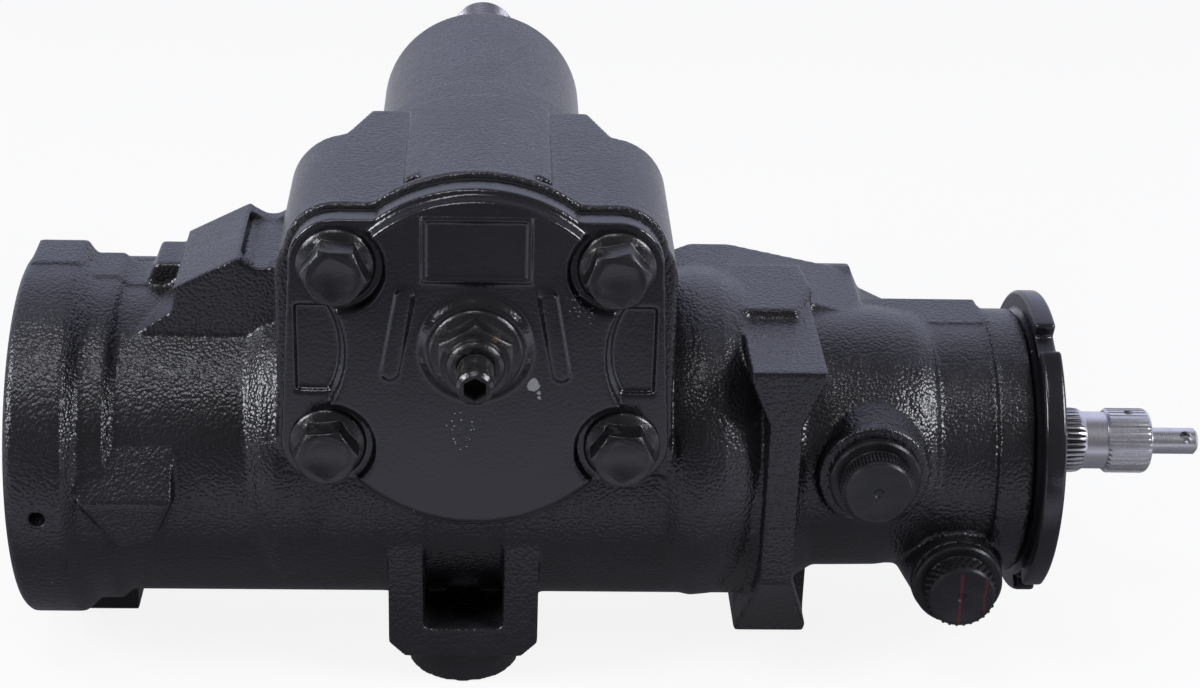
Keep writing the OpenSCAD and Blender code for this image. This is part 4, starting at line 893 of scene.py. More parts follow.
@dataclass(frozen=True)
class Bore:
    """A round bore given by its axis, its ends and its radius in millimetres."""

    axis: Axis
    across: Station
    start: float
    end: float
    radius: float

    def centre(self) -> Vector:
        """Returns the middle of the bore in metres."""
        point = list(self.across)
        point.insert("XYZ".index(self.axis.name), (self.start + self.end) / 2)
        return place(*point)

    def tool(self) -> Object:
        """Adds the bar that cuts or fills the bore."""
        return Bench.rod("bore", self.axis, self.centre(), self.end - self.start, self.radius)

    def filler(self, depth: float) -> "Bore":
        """Gives the wider bar that closes the bore's mouth."""
        return Bore(self.axis, self.across, self.start + 2.0, self.end - depth, self.radius + 1.6)


@dataclass(frozen=True)
class Swell:
    """A turned body along the worm that fattens the casting, with its axis beside the worm's."""

    name: str
    beside: Station
    stations: tuple[Station, ...]

    def body(self) -> Object:
        """Turns the body."""
        return Bench.turned(self.name, Axis.X, place(0.0, *self.beside), self.stations)


@dataclass
class Casting:
    """The cast and machined main housing."""

    skin: Skin = Skin(voxel=0.72, smoothing=7, triangles=165_000)
    bolts_top: Station = (36.2, 22.0)
    bolts_low: Station = (39.2, -30.0)
    pressure_port: Station = (110.0, 10.5)
    return_port: Station = (137.0, -25.0)
    ring_hole: Station = (-118.2, 0.0)
    rear_hole_y: float = 22.0
    rear_holes: Station = (-110.5, 87.5)
    thread_pitch: float = 1.75
    pocket_half: float = 11.0
    pocket_floor: float = -39.0
    pocket_wall: float = 44.5
    valley: Bore = Bore(Axis.Y, (-58.8, 67.0), -26.0, 25.0, 6.0)
    valley_low: Point = (-66.0, -20.0, 30.0)
    valley_high: Point = (-46.0, 19.0, 60.8)
    shoulders: tuple[Swell, ...] = (
        Swell("shoulder", (-2.4, 3.6), (
            (-63.0, 41.5), (-58.5, 44.8), (-54.0, 46.0), (-47.0, 45.2), (-38.0, 42.6), (-30.0, 40.0),
        )),
        Swell("shoulder", (-2.4, 3.6), (
            (50.0, 42.0), (56.0, 46.6), (62.0, 48.0), (68.0, 47.4), (74.0, 45.0), (79.0, 41.5),
        )),
    )
    belly: Swell = Swell("case_belly", (-2.6, 2.6), (
        (80.0, 36.0), (86.0, 37.6), (100.0, 38.0), (116.0, 37.8), (124.0, 36.6), (129.0, 34.5),
    ))

    def bolt_bores(self) -> list[Bore]:
        """Returns the four tapped holes behind the side cover."""
        top_x, top_z = self.bolts_top
        low_x, low_z = self.bolts_low
        corners = [(-top_x, top_z), (top_x, top_z), (-low_x, low_z), (low_x, low_z)]
        return [Bore(Axis.Y, (x, SECTOR_RISE + z), -47.0, -36.4, 4.75) for x, z in corners]

    def mount_bores(self) -> list[Bore]:
        """Returns the three tapped holes in the pads."""
        rear = [Bore(Axis.Z, (x, self.rear_hole_y), -59.0, -39.6, 5.5) for x in self.rear_holes]
        return [Bore(Axis.Z, (-WORM_PLACE.x, -WORM_PLACE.y), -59.0, -38.0, 5.5), *rear]

    def bores(self) -> list[list[Bore]]:
        """Returns the bores in rounds whose cutters do not meet each other."""
        wide = [
            Bore(Axis.X, WORM_AXIS, -105.0, 66.0, 40.0),
            Bore(Axis.Y, SECTOR_AXIS, 95.0, 128.0, 22.5),
            Bore(Axis.X, WORM_AXIS, 80.2, 137.44, 26.0),
            Bore(Axis.Y, self.pressure_port, -44.0, -32.0, 8.5),
            Bore(Axis.Y, self.return_port, -40.0, -28.0, 8.5),
            *self.bolt_bores(),
            *self.mount_bores(),
        ]
        mouths = [
            Bore(Axis.X, WORM_AXIS, -128.0, -104.0, 42.5),
            Bore(Axis.Y, SECTOR_AXIS, -47.0, 22.0, 31.0),
            Bore(Axis.X, WORM_AXIS, 70.0, 80.52, 21.05),
            Bore(Axis.X, WORM_AXIS, 134.5, 157.0, 31.05),
            Bore(Axis.Y, self.pressure_port, -33.0, -27.0, 4.6),
            Bore(Axis.Y, self.return_port, -29.0, -23.0, 4.6),
        ]
        narrow = [
            Bore(Axis.X, WORM_AXIS, -119.45, -117.0, 44.5),
            Bore(Axis.Y, SECTOR_AXIS, 0.0, 128.0, 16.5),
            Bore(Axis.X, WORM_AXIS, 65.0, 71.0, 14.4),
            Bore(Axis.Y, self.pressure_port, -28.0, 0.0, 2.4),
        ]
        seats = [
            Bore(Axis.Y, SECTOR_AXIS, 30.0, 64.0, 20.02),
            Bore(Axis.Y, SECTOR_AXIS, 112.35, 114.05, 24.0),
            Bore(Axis.Y, self.ring_hole, -53.0, -40.0, 2.2),
        ]
        return [wide, mouths, narrow, seats]

    def fillers(self) -> list[Object]:
        """Returns the bodies that close the casting's mouths and fatten it before it is skinned."""
        mouths = [
            Bore(Axis.X, WORM_AXIS, -112.0, -60.0, 43.0),
            Bore(Axis.Y, SECTOR_AXIS, -44.0, 0.0, 33.0),
            Bore(Axis.Y, SECTOR_AXIS, 60.0, 124.0, 25.0),
            Bore(Axis.X, WORM_AXIS, 120.0, 152.0, 33.0),
            Bore(Axis.Y, self.pressure_port, -42.0, -20.0, 10.0),
            Bore(Axis.Y, self.return_port, -38.0, -18.0, 10.0),
            Bore(Axis.Y, self.ring_hole, -50.5, -38.0, 4.0),
            *(bore.filler(1.5) for bore in self.bolt_bores()),
            *(bore.filler(1.6) for bore in self.mount_bores()),
        ]
        bodies = [mouth.tool() for mouth in mouths]
        bodies += [shoulder.body() for shoulder in self.shoulders]
        bodies.append(Bench.block("valley", place(*self.valley_low), place(*self.valley_high)))
        return [*bodies, self.belly.body()]

    def pocket(self) -> Object:
        """Makes the tool that opens the pocket above the middle tapped hole.

        Returns:
            The tool, hollowed along the cylinder's wall.
        """
        low = place(-WORM_PLACE.x - self.pocket_half, -60.0, self.pocket_floor)
        high = place(-WORM_PLACE.x + self.pocket_half, -12.0, -1.0)
        tool = Bench.block("pocket", low, high)
        Bench.combine(tool, Bore(Axis.X, WORM_AXIS, -40.0, 40.0, self.pocket_wall).tool())
        return tool

    def build(self) -> Object:
        """Casts the housing as one skin and then machines its bores and threads.

        Returns:
            The housing.
        """
        body = Bench.copy_node("housing", "housing_casting")
        Bench.combine(body, self.pocket())
        Bench.combine(body, self.valley.tool())
        Bench.join(body, self.fillers())
        self.skin.draw(body)
        for round_of_bores in self.bores():
            Bench.cut(body, [bore.tool() for bore in round_of_bores])
        self.cut_threads(body)
        Bench.shade(body, 38.0)
        return body

    def cut_threads(self, body: Object) -> None:
        """Cuts the threads of the tapped pads.

        Args:
            body: The machined housing.
        """
        profile = thread(self.thread_pitch, 5.2, 6.3, 0.44)
        tools = []
        for bore in self.mount_bores():
            start = place(*bore.across, bore.start)
            turns = int((bore.end - bore.start) / self.thread_pitch)
            tools.append(Bench.helix("tap", Axis.Z, start, profile, self.thread_pitch, turns))
        Bench.cut(body, tools)

    def dress(self, paint: Material) -> None:
        """Builds and paints the housing."""
        Piece(self.build(), Body.HOUSING, Slot.CASTING, ("housing",)).hand_over(paint)


@dataclass
class SideCover:
    """The cast cover over the sector."""

    skin: Skin = Skin(voxel=0.50, smoothing=6, triangles=110_000)
    inner: float = -46.8
    bush_end: float = -26.0
    bush_radius: float = 18.51
    screw_radius: float = 4.85
    bolt_radius: float = 5.2

    def build(self, casting: Casting) -> Object:
        """Casts the cover as one skin and then drills it.

        Args:
            casting: The housing that the cover is bolted to.

        Returns:
            The cover.
        """
        body = Bench.copy_node("side_cover", "side_cover_casting")
        holes = [Bore(Axis.Y, bore.across, -60.0, -46.0, self.bolt_radius) for bore in casting.bolt_bores()]
        fillers = [
            Bore(Axis.Y, SECTOR_AXIS, -51.0, self.bush_end - 1.0, self.bush_radius + 2.0),
            Bore(Axis.Y, SECTOR_AXIS, -57.6, -50.0, self.screw_radius + 2.0),
        ]
        fillers += [Bore(hole.axis, hole.across, -53.0, -47.2, hole.radius + 1.0) for hole in holes]
        Bench.join(body, [filler.tool() for filler in fillers])
        self.skin.draw(body)
        holes.append(Bore(Axis.Y, SECTOR_AXIS, self.inner - 0.05, self.bush_end + 1.0, self.bush_radius))
        Bench.cut(body, [hole.tool() for hole in holes])
        Bench.combine(body, Bore(Axis.Y, SECTOR_AXIS, -62.0, -46.0, self.screw_radius).tool())
        Bench.shade(body, 38.0)
        return body

    def dress(self, casting: Casting, paint: Material) -> None:
        """Builds the cover for a housing and paints it."""
        Piece(self.build(casting), Body.HOUSING, Slot.CASTING, ("side_cover",)).hand_over(paint)


@dataclass
class CoverBolts:
    """The four flanged bolts of the side cover."""

    seat: float = -53.4
    flange_t: float = 2.0
    flange_r: float = 10.3
    head_h: float = 7.5
    flats: float = 15.0
    shank_r: float = 4.7
    shank_end: float = -37.0
    dish_r: float = 5.2
    dish_depth: float = 0.45
    turns: tuple[float, ...] = (36.0, 20.0, 25.0, 33.0)

    def build(self) -> Object:
        """Makes one bolt on the sector axis from a hexagon, a flange and a shank.

        Returns:
            The bolt.
        """
        corner = self.flats / math.sqrt(3.0)
        foot = self.seat - self.flange_t
        top = foot - self.head_h
        centre = place(0.0, (foot + top) / 2 + 0.3, SECTOR_RISE)
        bolt = Bench.rod("cover_bolt", Axis.Y, centre, self.head_h + 0.6, corner, 6)
        crown = [(top, self.flats * 0.47), (top + 1.1, corner + 0.1), (foot + 1.5, corner + 0.1)]
        Bench.combine(bolt, Bench.turned("crown", Axis.Y, SECTOR_ORIGIN, crown), "INTERSECT")
        dish = [
            (top - 1.0, self.dish_r + 0.6),
            (top, self.dish_r),
            (top + self.dish_depth, self.dish_r - 0.8),
        ]
        Bench.combine(bolt, Bench.turned("dish", Axis.Y, SECTOR_ORIGIN, dish))
        flange = [
            (foot - 0.5, self.flats * 0.53),
            (foot + 0.4, self.flange_r - 0.7),
            (foot + 1.0, self.flange_r),
            (self.seat - 0.3, self.flange_r),
            (self.seat, self.flange_r - 0.3),
            (self.seat, self.shank_r),
            (self.shank_end - 1.0, self.shank_r),
            (self.shank_end, self.shank_r - 1.0),
        ]
        Bench.combine(bolt, Bench.turned("flange", Axis.Y, SECTOR_ORIGIN, flange), "UNION")
        Bench.soften(bolt, 0.28, 2, 32.0)
        return bolt

    def dress(self, casting: Casting, paint: Material) -> None:
        """Makes one bolt, copies it to the other corners and paints all four.

        Args:
            casting: The housing that the bolts are screwed into.
            paint: The fastener paint.
        """
        pattern = self.build()
        centred = Matrix.Translation(-SECTOR_ORIGIN)
        for number, (bore, turn) in enumerate(zip(casting.bolt_bores(), self.turns), 1):
            spin = Matrix.Rotation(math.radians(turn), 4, "Y")
            move = Matrix.Translation(place(bore.across[0], 0.0, bore.across[1]))
            bolt = Bench.twin(pattern, f"cover_bolt_{number}", move @ spin @ centred)
            Piece(bolt, Body.HOUSING, Slot.FASTENER, ("cover_bolts",)).hand_over(paint)
        bpy.data.objects.remove(pattern)


@dataclass
class LashScrew:
    """The lash adjuster screw with its lock nut on the cover boss."""

    boss: float = -58.4
    face_t: float = 1.6
    face_r: float = 12.3
    nut_h: float = 6.5
    flats: float = 19.0
    crown_r: float = 7.4
    crown_h: float = 2.5
    screw_r: float = 4.8
    screw_end: float = -80.0
    head_out: float = -42.54
    head_in: float = -37.54
    head_r: float = 8.0
    socket: float = 5.6
    socket_depth: float = 7.0
    pitch: float = 1.5
    point: float = 2.6

    def build_nut(self) -> Object:
        """Makes the nut with its washer face and crown.

        Returns:
            The nut.
        """
        corner = self.flats / math.sqrt(3.0)
        foot = self.boss - self.face_t
        top = foot - self.nut_h
        middle = place(0.0, (foot + top) / 2 + 0.2, SECTOR_RISE)
        nut = Bench.rod("lash_lock_nut_piece", Axis.Y, middle, self.nut_h + 0.4, corner, 6)
        bevel = [(top, self.flats * 0.48), (top + 1.3, corner + 0.1), (foot + 1.0, corner + 0.1)]
        Bench.combine(nut, Bench.turned("bevel", Axis.Y, SECTOR_ORIGIN, bevel), "INTERSECT")
        face = [
            (top - self.crown_h, self.crown_r - 1.0),
            (top - self.crown_h + 0.8, self.crown_r),
            (top + 0.3, self.crown_r + 0.4),
            (foot - 0.4, self.crown_r + 0.4),
            (foot - 0.2, self.face_r - 0.6),
            (foot + 0.3, self.face_r),
            (self.boss, self.face_r),
        ]
        Bench.combine(nut, Bench.turned("face", Axis.Y, SECTOR_ORIGIN, face), "UNION")
        outer = top - self.crown_h - 1.0
        Bench.combine(nut, Bore(Axis.Y, SECTOR_AXIS, outer, self.boss + 1.0, self.screw_r + 0.05).tool())
        Bench.soften(nut, 0.25, 2, 32.0)
        return nut

    def build_screw(self) -> Object:
        """Makes the threaded screw with its hexagon socket and head.

        Returns:
            The screw.
        """
        stations = [
            (self.screw_end, self.screw_r - 0.9),
            (self.screw_end + 0.9, self.screw_r),
            (self.head_out, self.screw_r),
            (self.head_out, self.head_r),
            (self.head_in, self.head_r),
        ]
        screw = Bench.turned("lash_screw", Axis.Y, SECTOR_ORIGIN, stations)
        profile = thread(self.pitch, self.screw_r + 0.25, self.screw_r - 0.85)
        start = place(0.0, self.screw_end + self.point, SECTOR_RISE)
        Bench.combine(screw, Bench.helix("die", Axis.Y, start, profile, self.pitch, 18))
        middle = place(0.0, self.screw_end + self.socket_depth / 2 - 1.0, SECTOR_RISE)
        key = Bench.rod("key", Axis.Y, middle, self.socket_depth + 2.0, self.socket / math.sqrt(3.0), 6)
        Bench.combine(screw, key)
        Bench.shade(screw, 30.0)
        return screw

    def dress(self, paint: Material, steel: Material) -> None:
        """Makes and finishes the nut and the screw."""
        Piece(self.build_nut(), Body.HOUSING, Slot.FASTENER, ("lash_lock_nut",)).hand_over(paint)
        Piece(self.build_screw(), Body.HOUSING, Slot.FASTENER, ("lash_adjuster",)).hand_over(steel)


@dataclass
class PortPlugs:
    """The two moulded shipping plugs in the oil ports."""

    flange_r: float = 12.6
    flange_t: float = 2.4
    cap_r: float = 9.6
    cap_h: float = 6.5
    stem_r: float = 8.45
    stem: float = 7.0
    knurls: int = 30
    knurl_h: float = 0.6
    rows: int = 3
    pressure: Point = (110.0, -43.0, 10.5)
    drain: Point = (137.0, -39.0, -25.0)

    def build(self, name: str, spot: Point) -> Object:
        """Makes one plug with a knurled cap, a flange and a stem.

        Args:
            name: Name of the plug.
            spot: Middle of the port's face.

        Returns:
            The plug.
        """
        face = -self.flange_t
        top = face - self.cap_h
        dish = [(top + 0.5, 1.0), (top + 0.1, 1.5), (top + 0.1, self.cap_r - 1.9), (top, self.cap_r - 1.5)]
        rim = [(top, self.cap_r - 0.8), (top + 0.5, self.cap_r - 0.2), (top + 0.9, self.cap_r - 0.1)]
        step = (self.cap_h - 1.5) / self.rows
        grip = [(top + 0.9 + step * (row + 1), self.cap_r - 0.1) for row in range(self.rows)]
        base = [
            (face, self.cap_r + 0.2),
            (face, self.flange_r - 0.6),
            (face + 0.5, self.flange_r),
            (-0.2, self.flange_r),
            (0.0, self.flange_r - 0.2),
            (0.0, self.stem_r),
            (self.stem - 0.8, self.stem_r),
            (self.stem, self.stem_r - 0.8),
        ]
        plug = Bench.turned(name, Axis.Y, place(*spot), [*dish, *rim, *grip, *base], 2 * self.knurls)
        self.knurl(plug, spot, top + 0.9, face - 0.3)
        Bench.shade(plug, 30.0)
        return plug

    def knurl(self, plug: Object, spot: Point, low: float, high: float) -> None:
        """Raises a grip of small points around the cap.

        Args:
            plug: The plug.
            spot: Middle of the port's face.
            low: Outer end of the grip.
            high: Inner end of the grip.
        """
        centre = place(*spot)
        step = math.pi / self.knurls
        with Bench.edit(plug):
            bpy.ops.mesh.select_all(action="DESELECT")
        for polygon in plug.data.polygons:
            way = polygon.center - centre
            depth = way.y / MM
            if not low < depth < high or abs(polygon.normal.y) > 0.3:
                continue
            sector = int(math.atan2(way.z, way.x) / step + 4 * self.knurls)
            row = int((depth - low) / (high - low) * self.rows)
            polygon.select = (sector + row) % 2 == 0
        Bench.only(plug)
        bpy.ops.object.mode_set(mode="EDIT")
        bpy.ops.mesh.select_mode(type="FACE")
        bpy.ops.mesh.inset(thickness=0.22 * MM, depth=self.knurl_h * MM, use_individual=True)
        bpy.ops.object.mode_set(mode="OBJECT")

    def dress(self, plain: Material, marked: Material) -> None:
        """Makes and finishes both plugs.

        Args:
            plain: Finish of the pressure plug.
            marked: Finish of the return plug, with paint strokes.
        """
        first = self.build("pressure_port_plug", self.pressure)
        second = self.build("return_port_plug", self.drain)
        Piece(first, Body.HOUSING, Slot.PLUG, ("pressure_plug",)).hand_over(plain)
        Piece(second, Body.HOUSING, Slot.PLUG, ("return_plug",)).hand_over(marked)


@dataclass
class InputEnd:
    """The input shaft and the adjuster parts at the valve end."""

    band_end: float = 178.0
    spline_start: float = 184.4
    spline_end: float = 197.5
    spline_r: float = 9.525
    nose_end: float = 212.3
    nose_r: float = 3.85
    neck_r: float = 8.4
    round_end: float = 2.0
    ring_edge: float = 1.2
    plug_edge: float = 0.5

    def build(self) -> Object:
        """Rounds the ends of the serrations on a copy of the shaft.

        Returns:
            The shaft.
        """
        shaft = Bench.copy_node("stub_shaft", "input_shaft")
        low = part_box("stub_shaft")[0].x / MM - WORM_PLACE.x
        full = self.spline_r + 4.0
        r = self.round_end
        corner = [
            (self.spline_end - r + r * math.sin(a), self.spline_r + 0.02 - r + r * math.cos(a))
            for a in (i * math.pi / 12 for i in range(7))
        ]
        envelope = [
            (low - 1.0, full),
            (self.band_end - 6.8, full),
            (self.band_end - 3.4, self.spline_r + 0.05),
            (self.band_end - 1.4, self.spline_r - 0.25),
            (self.band_end + 0.05, self.neck_r + 0.01),
            (self.spline_start - 0.4, self.neck_r + 0.01),
            (self.spline_start + 0.9, self.spline_r + 0.05),
            *corner,
            (self.spline_end + 0.01, self.nose_r + 0.6),
            (self.spline_end + 0.6, self.nose_r + 0.01),
            (self.nose_end - 0.9, self.nose_r + 0.01),
            (self.nose_end - 0.1, self.nose_r - 0.9),
        ]
        Bench.combine(shaft, Bench.turned("envelope", Axis.X, place(0, 0, 0), envelope, 144), "INTERSECT")
        middle = place(self.nose_end - self.nose_r, 0.0, 0.0)
        Bench.combine(shaft, Bench.rod("core", Axis.X, middle, 5.0, 0.45 * self.nose_r), "UNION")
        Bench.shade(shaft, 28.0)
        return shaft

    def dress(self, steel: Material, paint: Material, plain: Material) -> None:
        """Makes and finishes the shaft, the lock ring and the adjuster plug.

        Args:
            steel: Finish of the shaft.
            paint: Finish of the lock ring.
            plain: Finish of the adjuster plug.
        """
        Piece(self.build(), Body.INPUT, Slot.BARE, ("stub_shaft",)).hand_over(steel)
        ring = Bench.edged("adjuster_lock_ring", "lock_ring", self.ring_edge, 4)
        Piece(ring, Body.HOUSING, Slot.CASTING, ("adjuster_lock_ring",)).hand_over(paint)
        plug = Bench.edged("adjuster_plug", "bearing_adjuster", self.plug_edge)
        Piece(plug, Body.HOUSING, Slot.PLAIN, ("adjuster_plug",)).hand_over(plain)


@dataclass
class OutputShaft:
    """The sector shaft with its threaded output end."""

    thread_start: float = 170.0
    thread_end: float = 201.0
    thread_r: float = 11.1
    pitch: float = 1.8

    def build(self) -> Object:
        """Cuts the thread and the end bevel on a copy of the shaft.

        Returns:
            The shaft.
        """
        shaft = Bench.copy_node("sector_shaft", "output_shaft")
        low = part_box("sector_shaft")[0].y / MM - WORM_PLACE.y
        full = 40.0
        envelope = [
            (low - 1.0, full),
            (self.thread_start - 3.0, full),
            (self.thread_start - 2.9, self.thread_r + 0.01),
            (self.thread_end - 1.4, self.thread_r + 0.01),
            (self.thread_end - 0.01, self.thread_r - 1.4),
        ]
        Bench.combine(shaft, Bench.turned("envelope", Axis.Y, SECTOR_ORIGIN, envelope, 144), "INTERSECT")
        profile = thread(self.pitch, self.thread_r + 0.3, self.thread_r - 1.0)
        start = place(0.0, self.thread_start + 1.0, SECTOR_RISE)
        turns = int((self.thread_end - self.thread_start) / self.pitch)
        Bench.combine(shaft, Bench.helix("die", Axis.Y, start, profile, self.pitch, turns, 56))
        Bench.shade(shaft, 28.0)
        return shaft

    def dress(self, steel: Material) -> None:
        """Makes and finishes the shaft."""
        Piece(self.build(), Body.SECTOR, Slot.BARE, ("sector_shaft",)).hand_over(steel)


@dataclass
class CylinderEnd:
    """The plug that closes the cylinder."""

    edge: float = 0.6

    def dress(self, plain: Material) -> None:
        """Breaks the edges of the end plug and finishes it."""
        plug = Bench.edged("end_plug", "cylinder_plug", self.edge)
        Piece(plug, Body.HOUSING, Slot.PLAIN, ("end_plug",)).hand_over(plain)


@dataclass
class InnerWorks:
    """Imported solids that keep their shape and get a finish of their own."""

    finishes: dict[Slot, Material]

    def dress(self) -> None:
        """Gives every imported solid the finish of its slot."""
        for row in frame["record"]["subparts"]:
            node = frame["nodes"][row["node"]]
            node.data.materials.clear()
            node.data.materials.append(self.finishes[Slot(row["material_slot"])])
        LOG.info("%d packed solids have their finish", len(frame["nodes"]))


@dataclass
class Studio:
    """Pale floor, soft light and the camera of the photograph."""

    floor_size: float = 20.0
    floor_drop: float = -0.0004
    floor_colour: Colour = (0.93, 0.93, 0.93)
    near_floor: Colour = (0.56, 0.565, 0.63)
    far_floor: Colour = (0.15, 0.15, 0.17)
    # Painted shadow of the floor under the part, as every ray but the camera's sees it.
    under_floor_shadow: Colour = (0.19, 0.19, 0.21)
    side_floor: Colour = (0.85, 0.86, 0.92)
    back_light: Colour = (0.67, 0.69, 0.91)
    front_light: Colour = (0.11, 0.11, 0.12)
    whiteness: float = 0.88
    mirror_share: float = 0.4
    aim: Point = (0.01, 0.03, 0.08)
    tint: Colour = (0.97, 0.98, 1.05)
    lens: float = 72.0
    sensor: float = 36.0
    eye: Point = (3.85, -618.11, 331.53)
    right: Point = (0.99889974, -0.03581947, 0.03027002)
    up: Point = (-0.01146945, 0.43926528, 0.89828418)
    back: Point = (-0.04547263, -0.89764301, 0.43837115)

    def floor(self) -> None:
        """Lays the floor under the pads."""
        plane = Bench.added(
            "studio_floor", bpy.ops.mesh.primitive_plane_add,
            size=self.floor_size, location=(0.0, 0.0, self.floor_drop),
        )
        Bench.settle(plane)
        graph = Graph.named("floor_paper")
        tone = graph.noise(3.0, 2.0, 0.5)
        darker = tuple(0.98 * value for value in self.floor_colour)
        rays = graph.node("ShaderNodeLightPath").socket.node.outputs
        kinds = ("Camera", "Glossy", "Transmission")
        seen, glossy, through = (Signal(graph, rays[f"Is {kind} Ray"]) for kind in kinds)
        mirrored = self.mirrored(graph)
        colour = graph.mix(seen, mirrored, graph.mix(tone, self.floor_colour, darker))
        lit = graph.node("ShaderNodeBsdfPrincipled", inputs={"Base Color": colour, "Roughness": 0.85})
        glow = graph.mix(seen, mirrored, (1.0, 1.0, 1.0))
        white = graph.node("ShaderNodeEmission", inputs={"Color": glow, "Strength": 1.0})
        share = seen * self.whiteness + (glossy + through) * self.mirror_share
        paper = graph.close(graph.node("ShaderNodeMixShader", inputs={0: share, 1: lit, 2: white}))
        plane.data.materials.append(paper)

    def mirrored(self, graph: Graph) -> Signal:
        """Gives the floor as the paint mirrors it, a painted reflection: pale around the part, with a painted
        shadow under it, and dim far in front.

        Args:
            graph: The floor's node tree.

        Returns:
            The colour.
        """
        x, y, _ = graph.axes()
        colour = graph.mix(graph.step(y, -0.14, -0.34), self.near_floor, self.far_floor)
        # Painted shadow under the part, seen by every ray but the camera's.
        colour = graph.mix(graph.step(y, -0.13, -0.06), colour, self.under_floor_shadow)
        colour = graph.mix(graph.step(y, 0.24, 0.40), colour, self.side_floor)
        return graph.mix(graph.step(abs(x), 0.24, 0.55), colour, self.side_floor)

    def lamp(self, name: str, spot: Vector, size: Station, power: float) -> None:
        """Hangs one soft box that faces the part.

        Args:
            name: Name of the lamp.
            spot: Its place in metres.
            size: Its width and height in metres.
            power: Its power in watts.
        """
        light = bpy.data.lights.new(name, "AREA")
        light.shape = "RECTANGLE"
        light.size, light.size_y = size
        light.energy = power
        light.color = self.tint
        lamp = bpy.data.objects.new(name, light)
        bpy.context.scene.collection.objects.link(lamp)
        lamp.location = spot
        lamp.visible_camera = False
        lamp.rotation_euler = (Vector(self.aim) - spot).to_track_quat("-Z", "Y").to_euler()

    def light(self) -> None:
        """Sets the soft boxes and the even light around them."""
        graph = Graph(bpy.data.worlds.new("studio_world"))
        bpy.context.scene.world = graph.owner
        depth = graph.split(graph.node("ShaderNodeTexCoord", output="Generated"))[1]
        colour = graph.mix(graph.step(depth, 0.05, 0.75), self.front_light, self.back_light)
        sky = graph.node("ShaderNodeBackground", inputs={"Color": colour, "Strength": 1.0})
        graph.node("ShaderNodeOutputWorld", inputs={"Surface": sky})
        self.lamp("left_box", Vector((-1.0, -0.35, 0.7)), (0.46, 0.46), 7.5)
        self.lamp("right_box", Vector((1.0, -0.35, 0.7)), (0.46, 0.46), 7.5)
        self.lamp("top_strip", Vector((-0.22, -0.32, 1.1)), (0.55, 0.18), 2.0)

    def camera(self) -> None:
        """Sets the camera where the photograph was taken from."""
        data = bpy.data.cameras.new("photo_camera")
        data.lens = self.lens
        data.sensor_width = self.sensor
        data.sensor_fit = "HORIZONTAL"
        data.clip_start = 0.01
        camera = bpy.data.objects.new("photo_camera", data)
        bpy.context.scene.collection.objects.link(camera)
        turn = Matrix((self.right, self.up, self.back)).transposed().to_4x4()
        camera.matrix_world = Matrix.Translation(place(*self.eye)) @ turn
        bpy.context.scene.camera = camera

    def build(self) -> None:
        """Sets up the whole studio."""
        bpy.context.scene.view_settings.view_transform = "Standard"
        self.camera()
        self.light()
        self.floor()


PLUG_PLASTIC = ((0.012, 0.012, 0.013), (0.022, 0.022, 0.024), (0.20, 0.36))


def finishes() -> dict[Slot, Material]:
    """Builds the finish of every material slot.

    Returns:
        The materials by slot.
    """
    finish = {
        Slot.CASTING: CastPaint("casting_paint"),
        Slot.FASTENER: TurnedPaint("fastener_paint"),
        Slot.BARE: Steel("ground_steel", serrated=((168.0, 177.4), (185.0, 197.0))),
        Slot.BEARING: Steel("bearing_steel", (0.66, 0.66, 0.68), (0.50, 0.50, 0.52), gloss=(0.12, 0.24)),
        Slot.PLAIN: Steel("phosphated_steel", (0.30, 0.30, 0.31), (0.16, 0.16, 0.17), gloss=(0.34, 0.52)),
        Slot.RUBBER: Moulded("seal_rubber", (0.012, 0.012, 0.013), (0.026, 0.026, 0.027)),
        Slot.RING: Moulded("ring_plastic", (0.17, 0.11, 0.07), (0.24, 0.17, 0.11)),
        Slot.BRASS: Steel("seat_brass", (0.66, 0.50, 0.22), (0.48, 0.35, 0.15), gloss=(0.22, 0.40)),
        Slot.PLUG: Moulded("plug_plastic", *PLUG_PLASTIC),
    }
    return {slot: look.material() for slot, look in finish.items()}


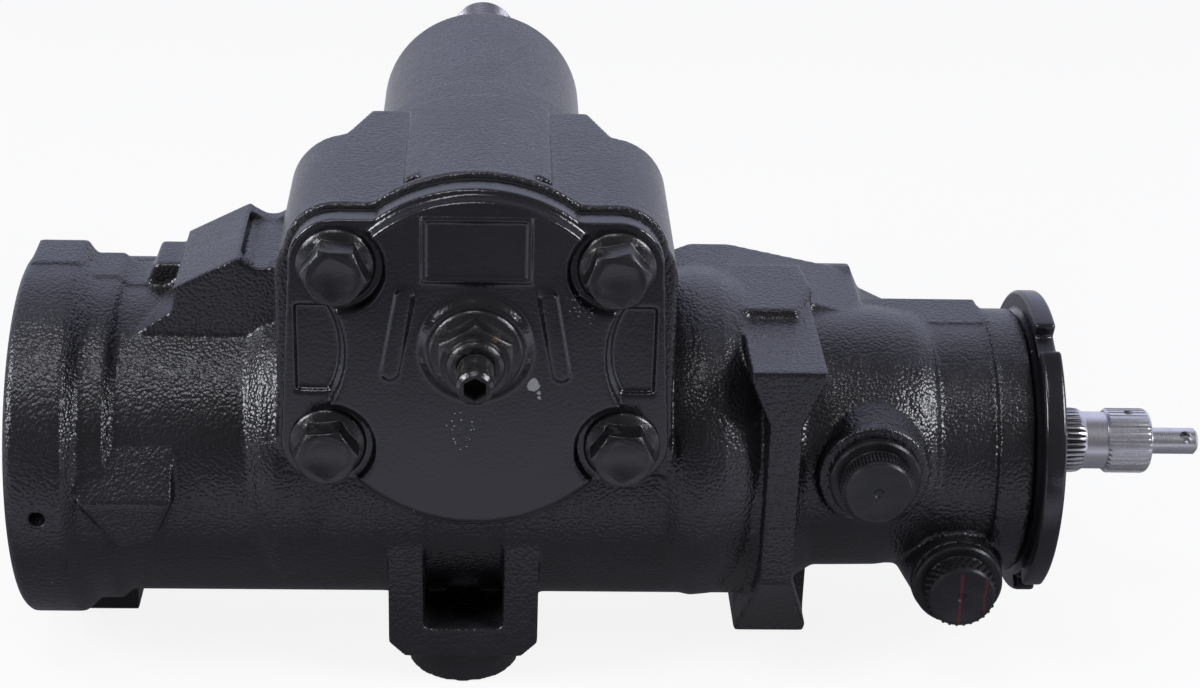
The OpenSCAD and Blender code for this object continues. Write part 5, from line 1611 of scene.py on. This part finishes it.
def cover_paint() -> Material:
    """Builds the cover's paint with its chips and its blisters, whose tips carry a painted glint.

    Returns:
        The material.
    """
    chips = (
        Chip((15.0, -56.4, 45.0), 1.9),
        Chip((16.7, -56.4, 42.6), 0.7, 0.6),
        Chip((16.7, -56.4, 41.3), 0.6, 0.6),
    )
    pitted = (
        Chip((-3.0, -56.4, 33.0), 4.5, 3.0),
        Chip((-4.0, -56.4, 28.4), 3.2, 2.0),
        Chip((28.0, -56.4, 68.0), 5.0, 3.5),
    )
    return CastPaint(
        "cover_paint", grain=0.14, pebble=0.22, gloss=(0.10, 0.20), dusting=0.05, chips=chips, pitted=pitted
    ).material()


def main() -> None:
    """Builds the studio, the finishes and every piece, in order."""
    logging.basicConfig(level=logging.INFO, format="%(name)s: %(message)s")
    Studio().build()
    look = finishes()
    InnerWorks(look).dress()
    casting = Casting()
    casting.dress(look[Slot.CASTING])
    SideCover().dress(casting, cover_paint())
    CoverBolts().dress(casting, look[Slot.FASTENER])
    screw_paint = TurnedPaint("screw_paint", gloss=(0.12, 0.22), wear=0.6).material()
    stains = (Chip((5.0, -66.0, 63.2), 1.1, 1.4), Chip((6.4, -66.0, 61.8), 0.7, 1.0))
    LashScrew().dress(TurnedPaint("nut_paint", wear=0.6, stains=stains).material(), screw_paint)
    plugs = PortPlugs()
    strokes = (Stroke(-0.4, -0.5, 0.4, 8.0), Stroke(6.6, 0.8, 0.35, 5.0))
    marked = Moulded("marked_plastic", *PLUG_PLASTIC, marks=strokes, mark_place=plugs.drain)
    plugs.dress(look[Slot.PLUG], marked.material())
    ring_paint = CastPaint("ring_paint", grain=0.12, pebble=0.2, gloss=(0.10, 0.20), dusting=0.05).material()
    InputEnd().dress(look[Slot.BARE], ring_paint, look[Slot.PLAIN])
    output_steel = Steel(
        "output_steel", (0.34, 0.33, 0.36), (0.17, 0.165, 0.18), axis=1, serrated=((118.0, 200.5),)
    )
    OutputShaft().dress(output_steel.material())
    CylinderEnd().dress(look[Slot.PLAIN])


if __name__ == "__main__":
    main()
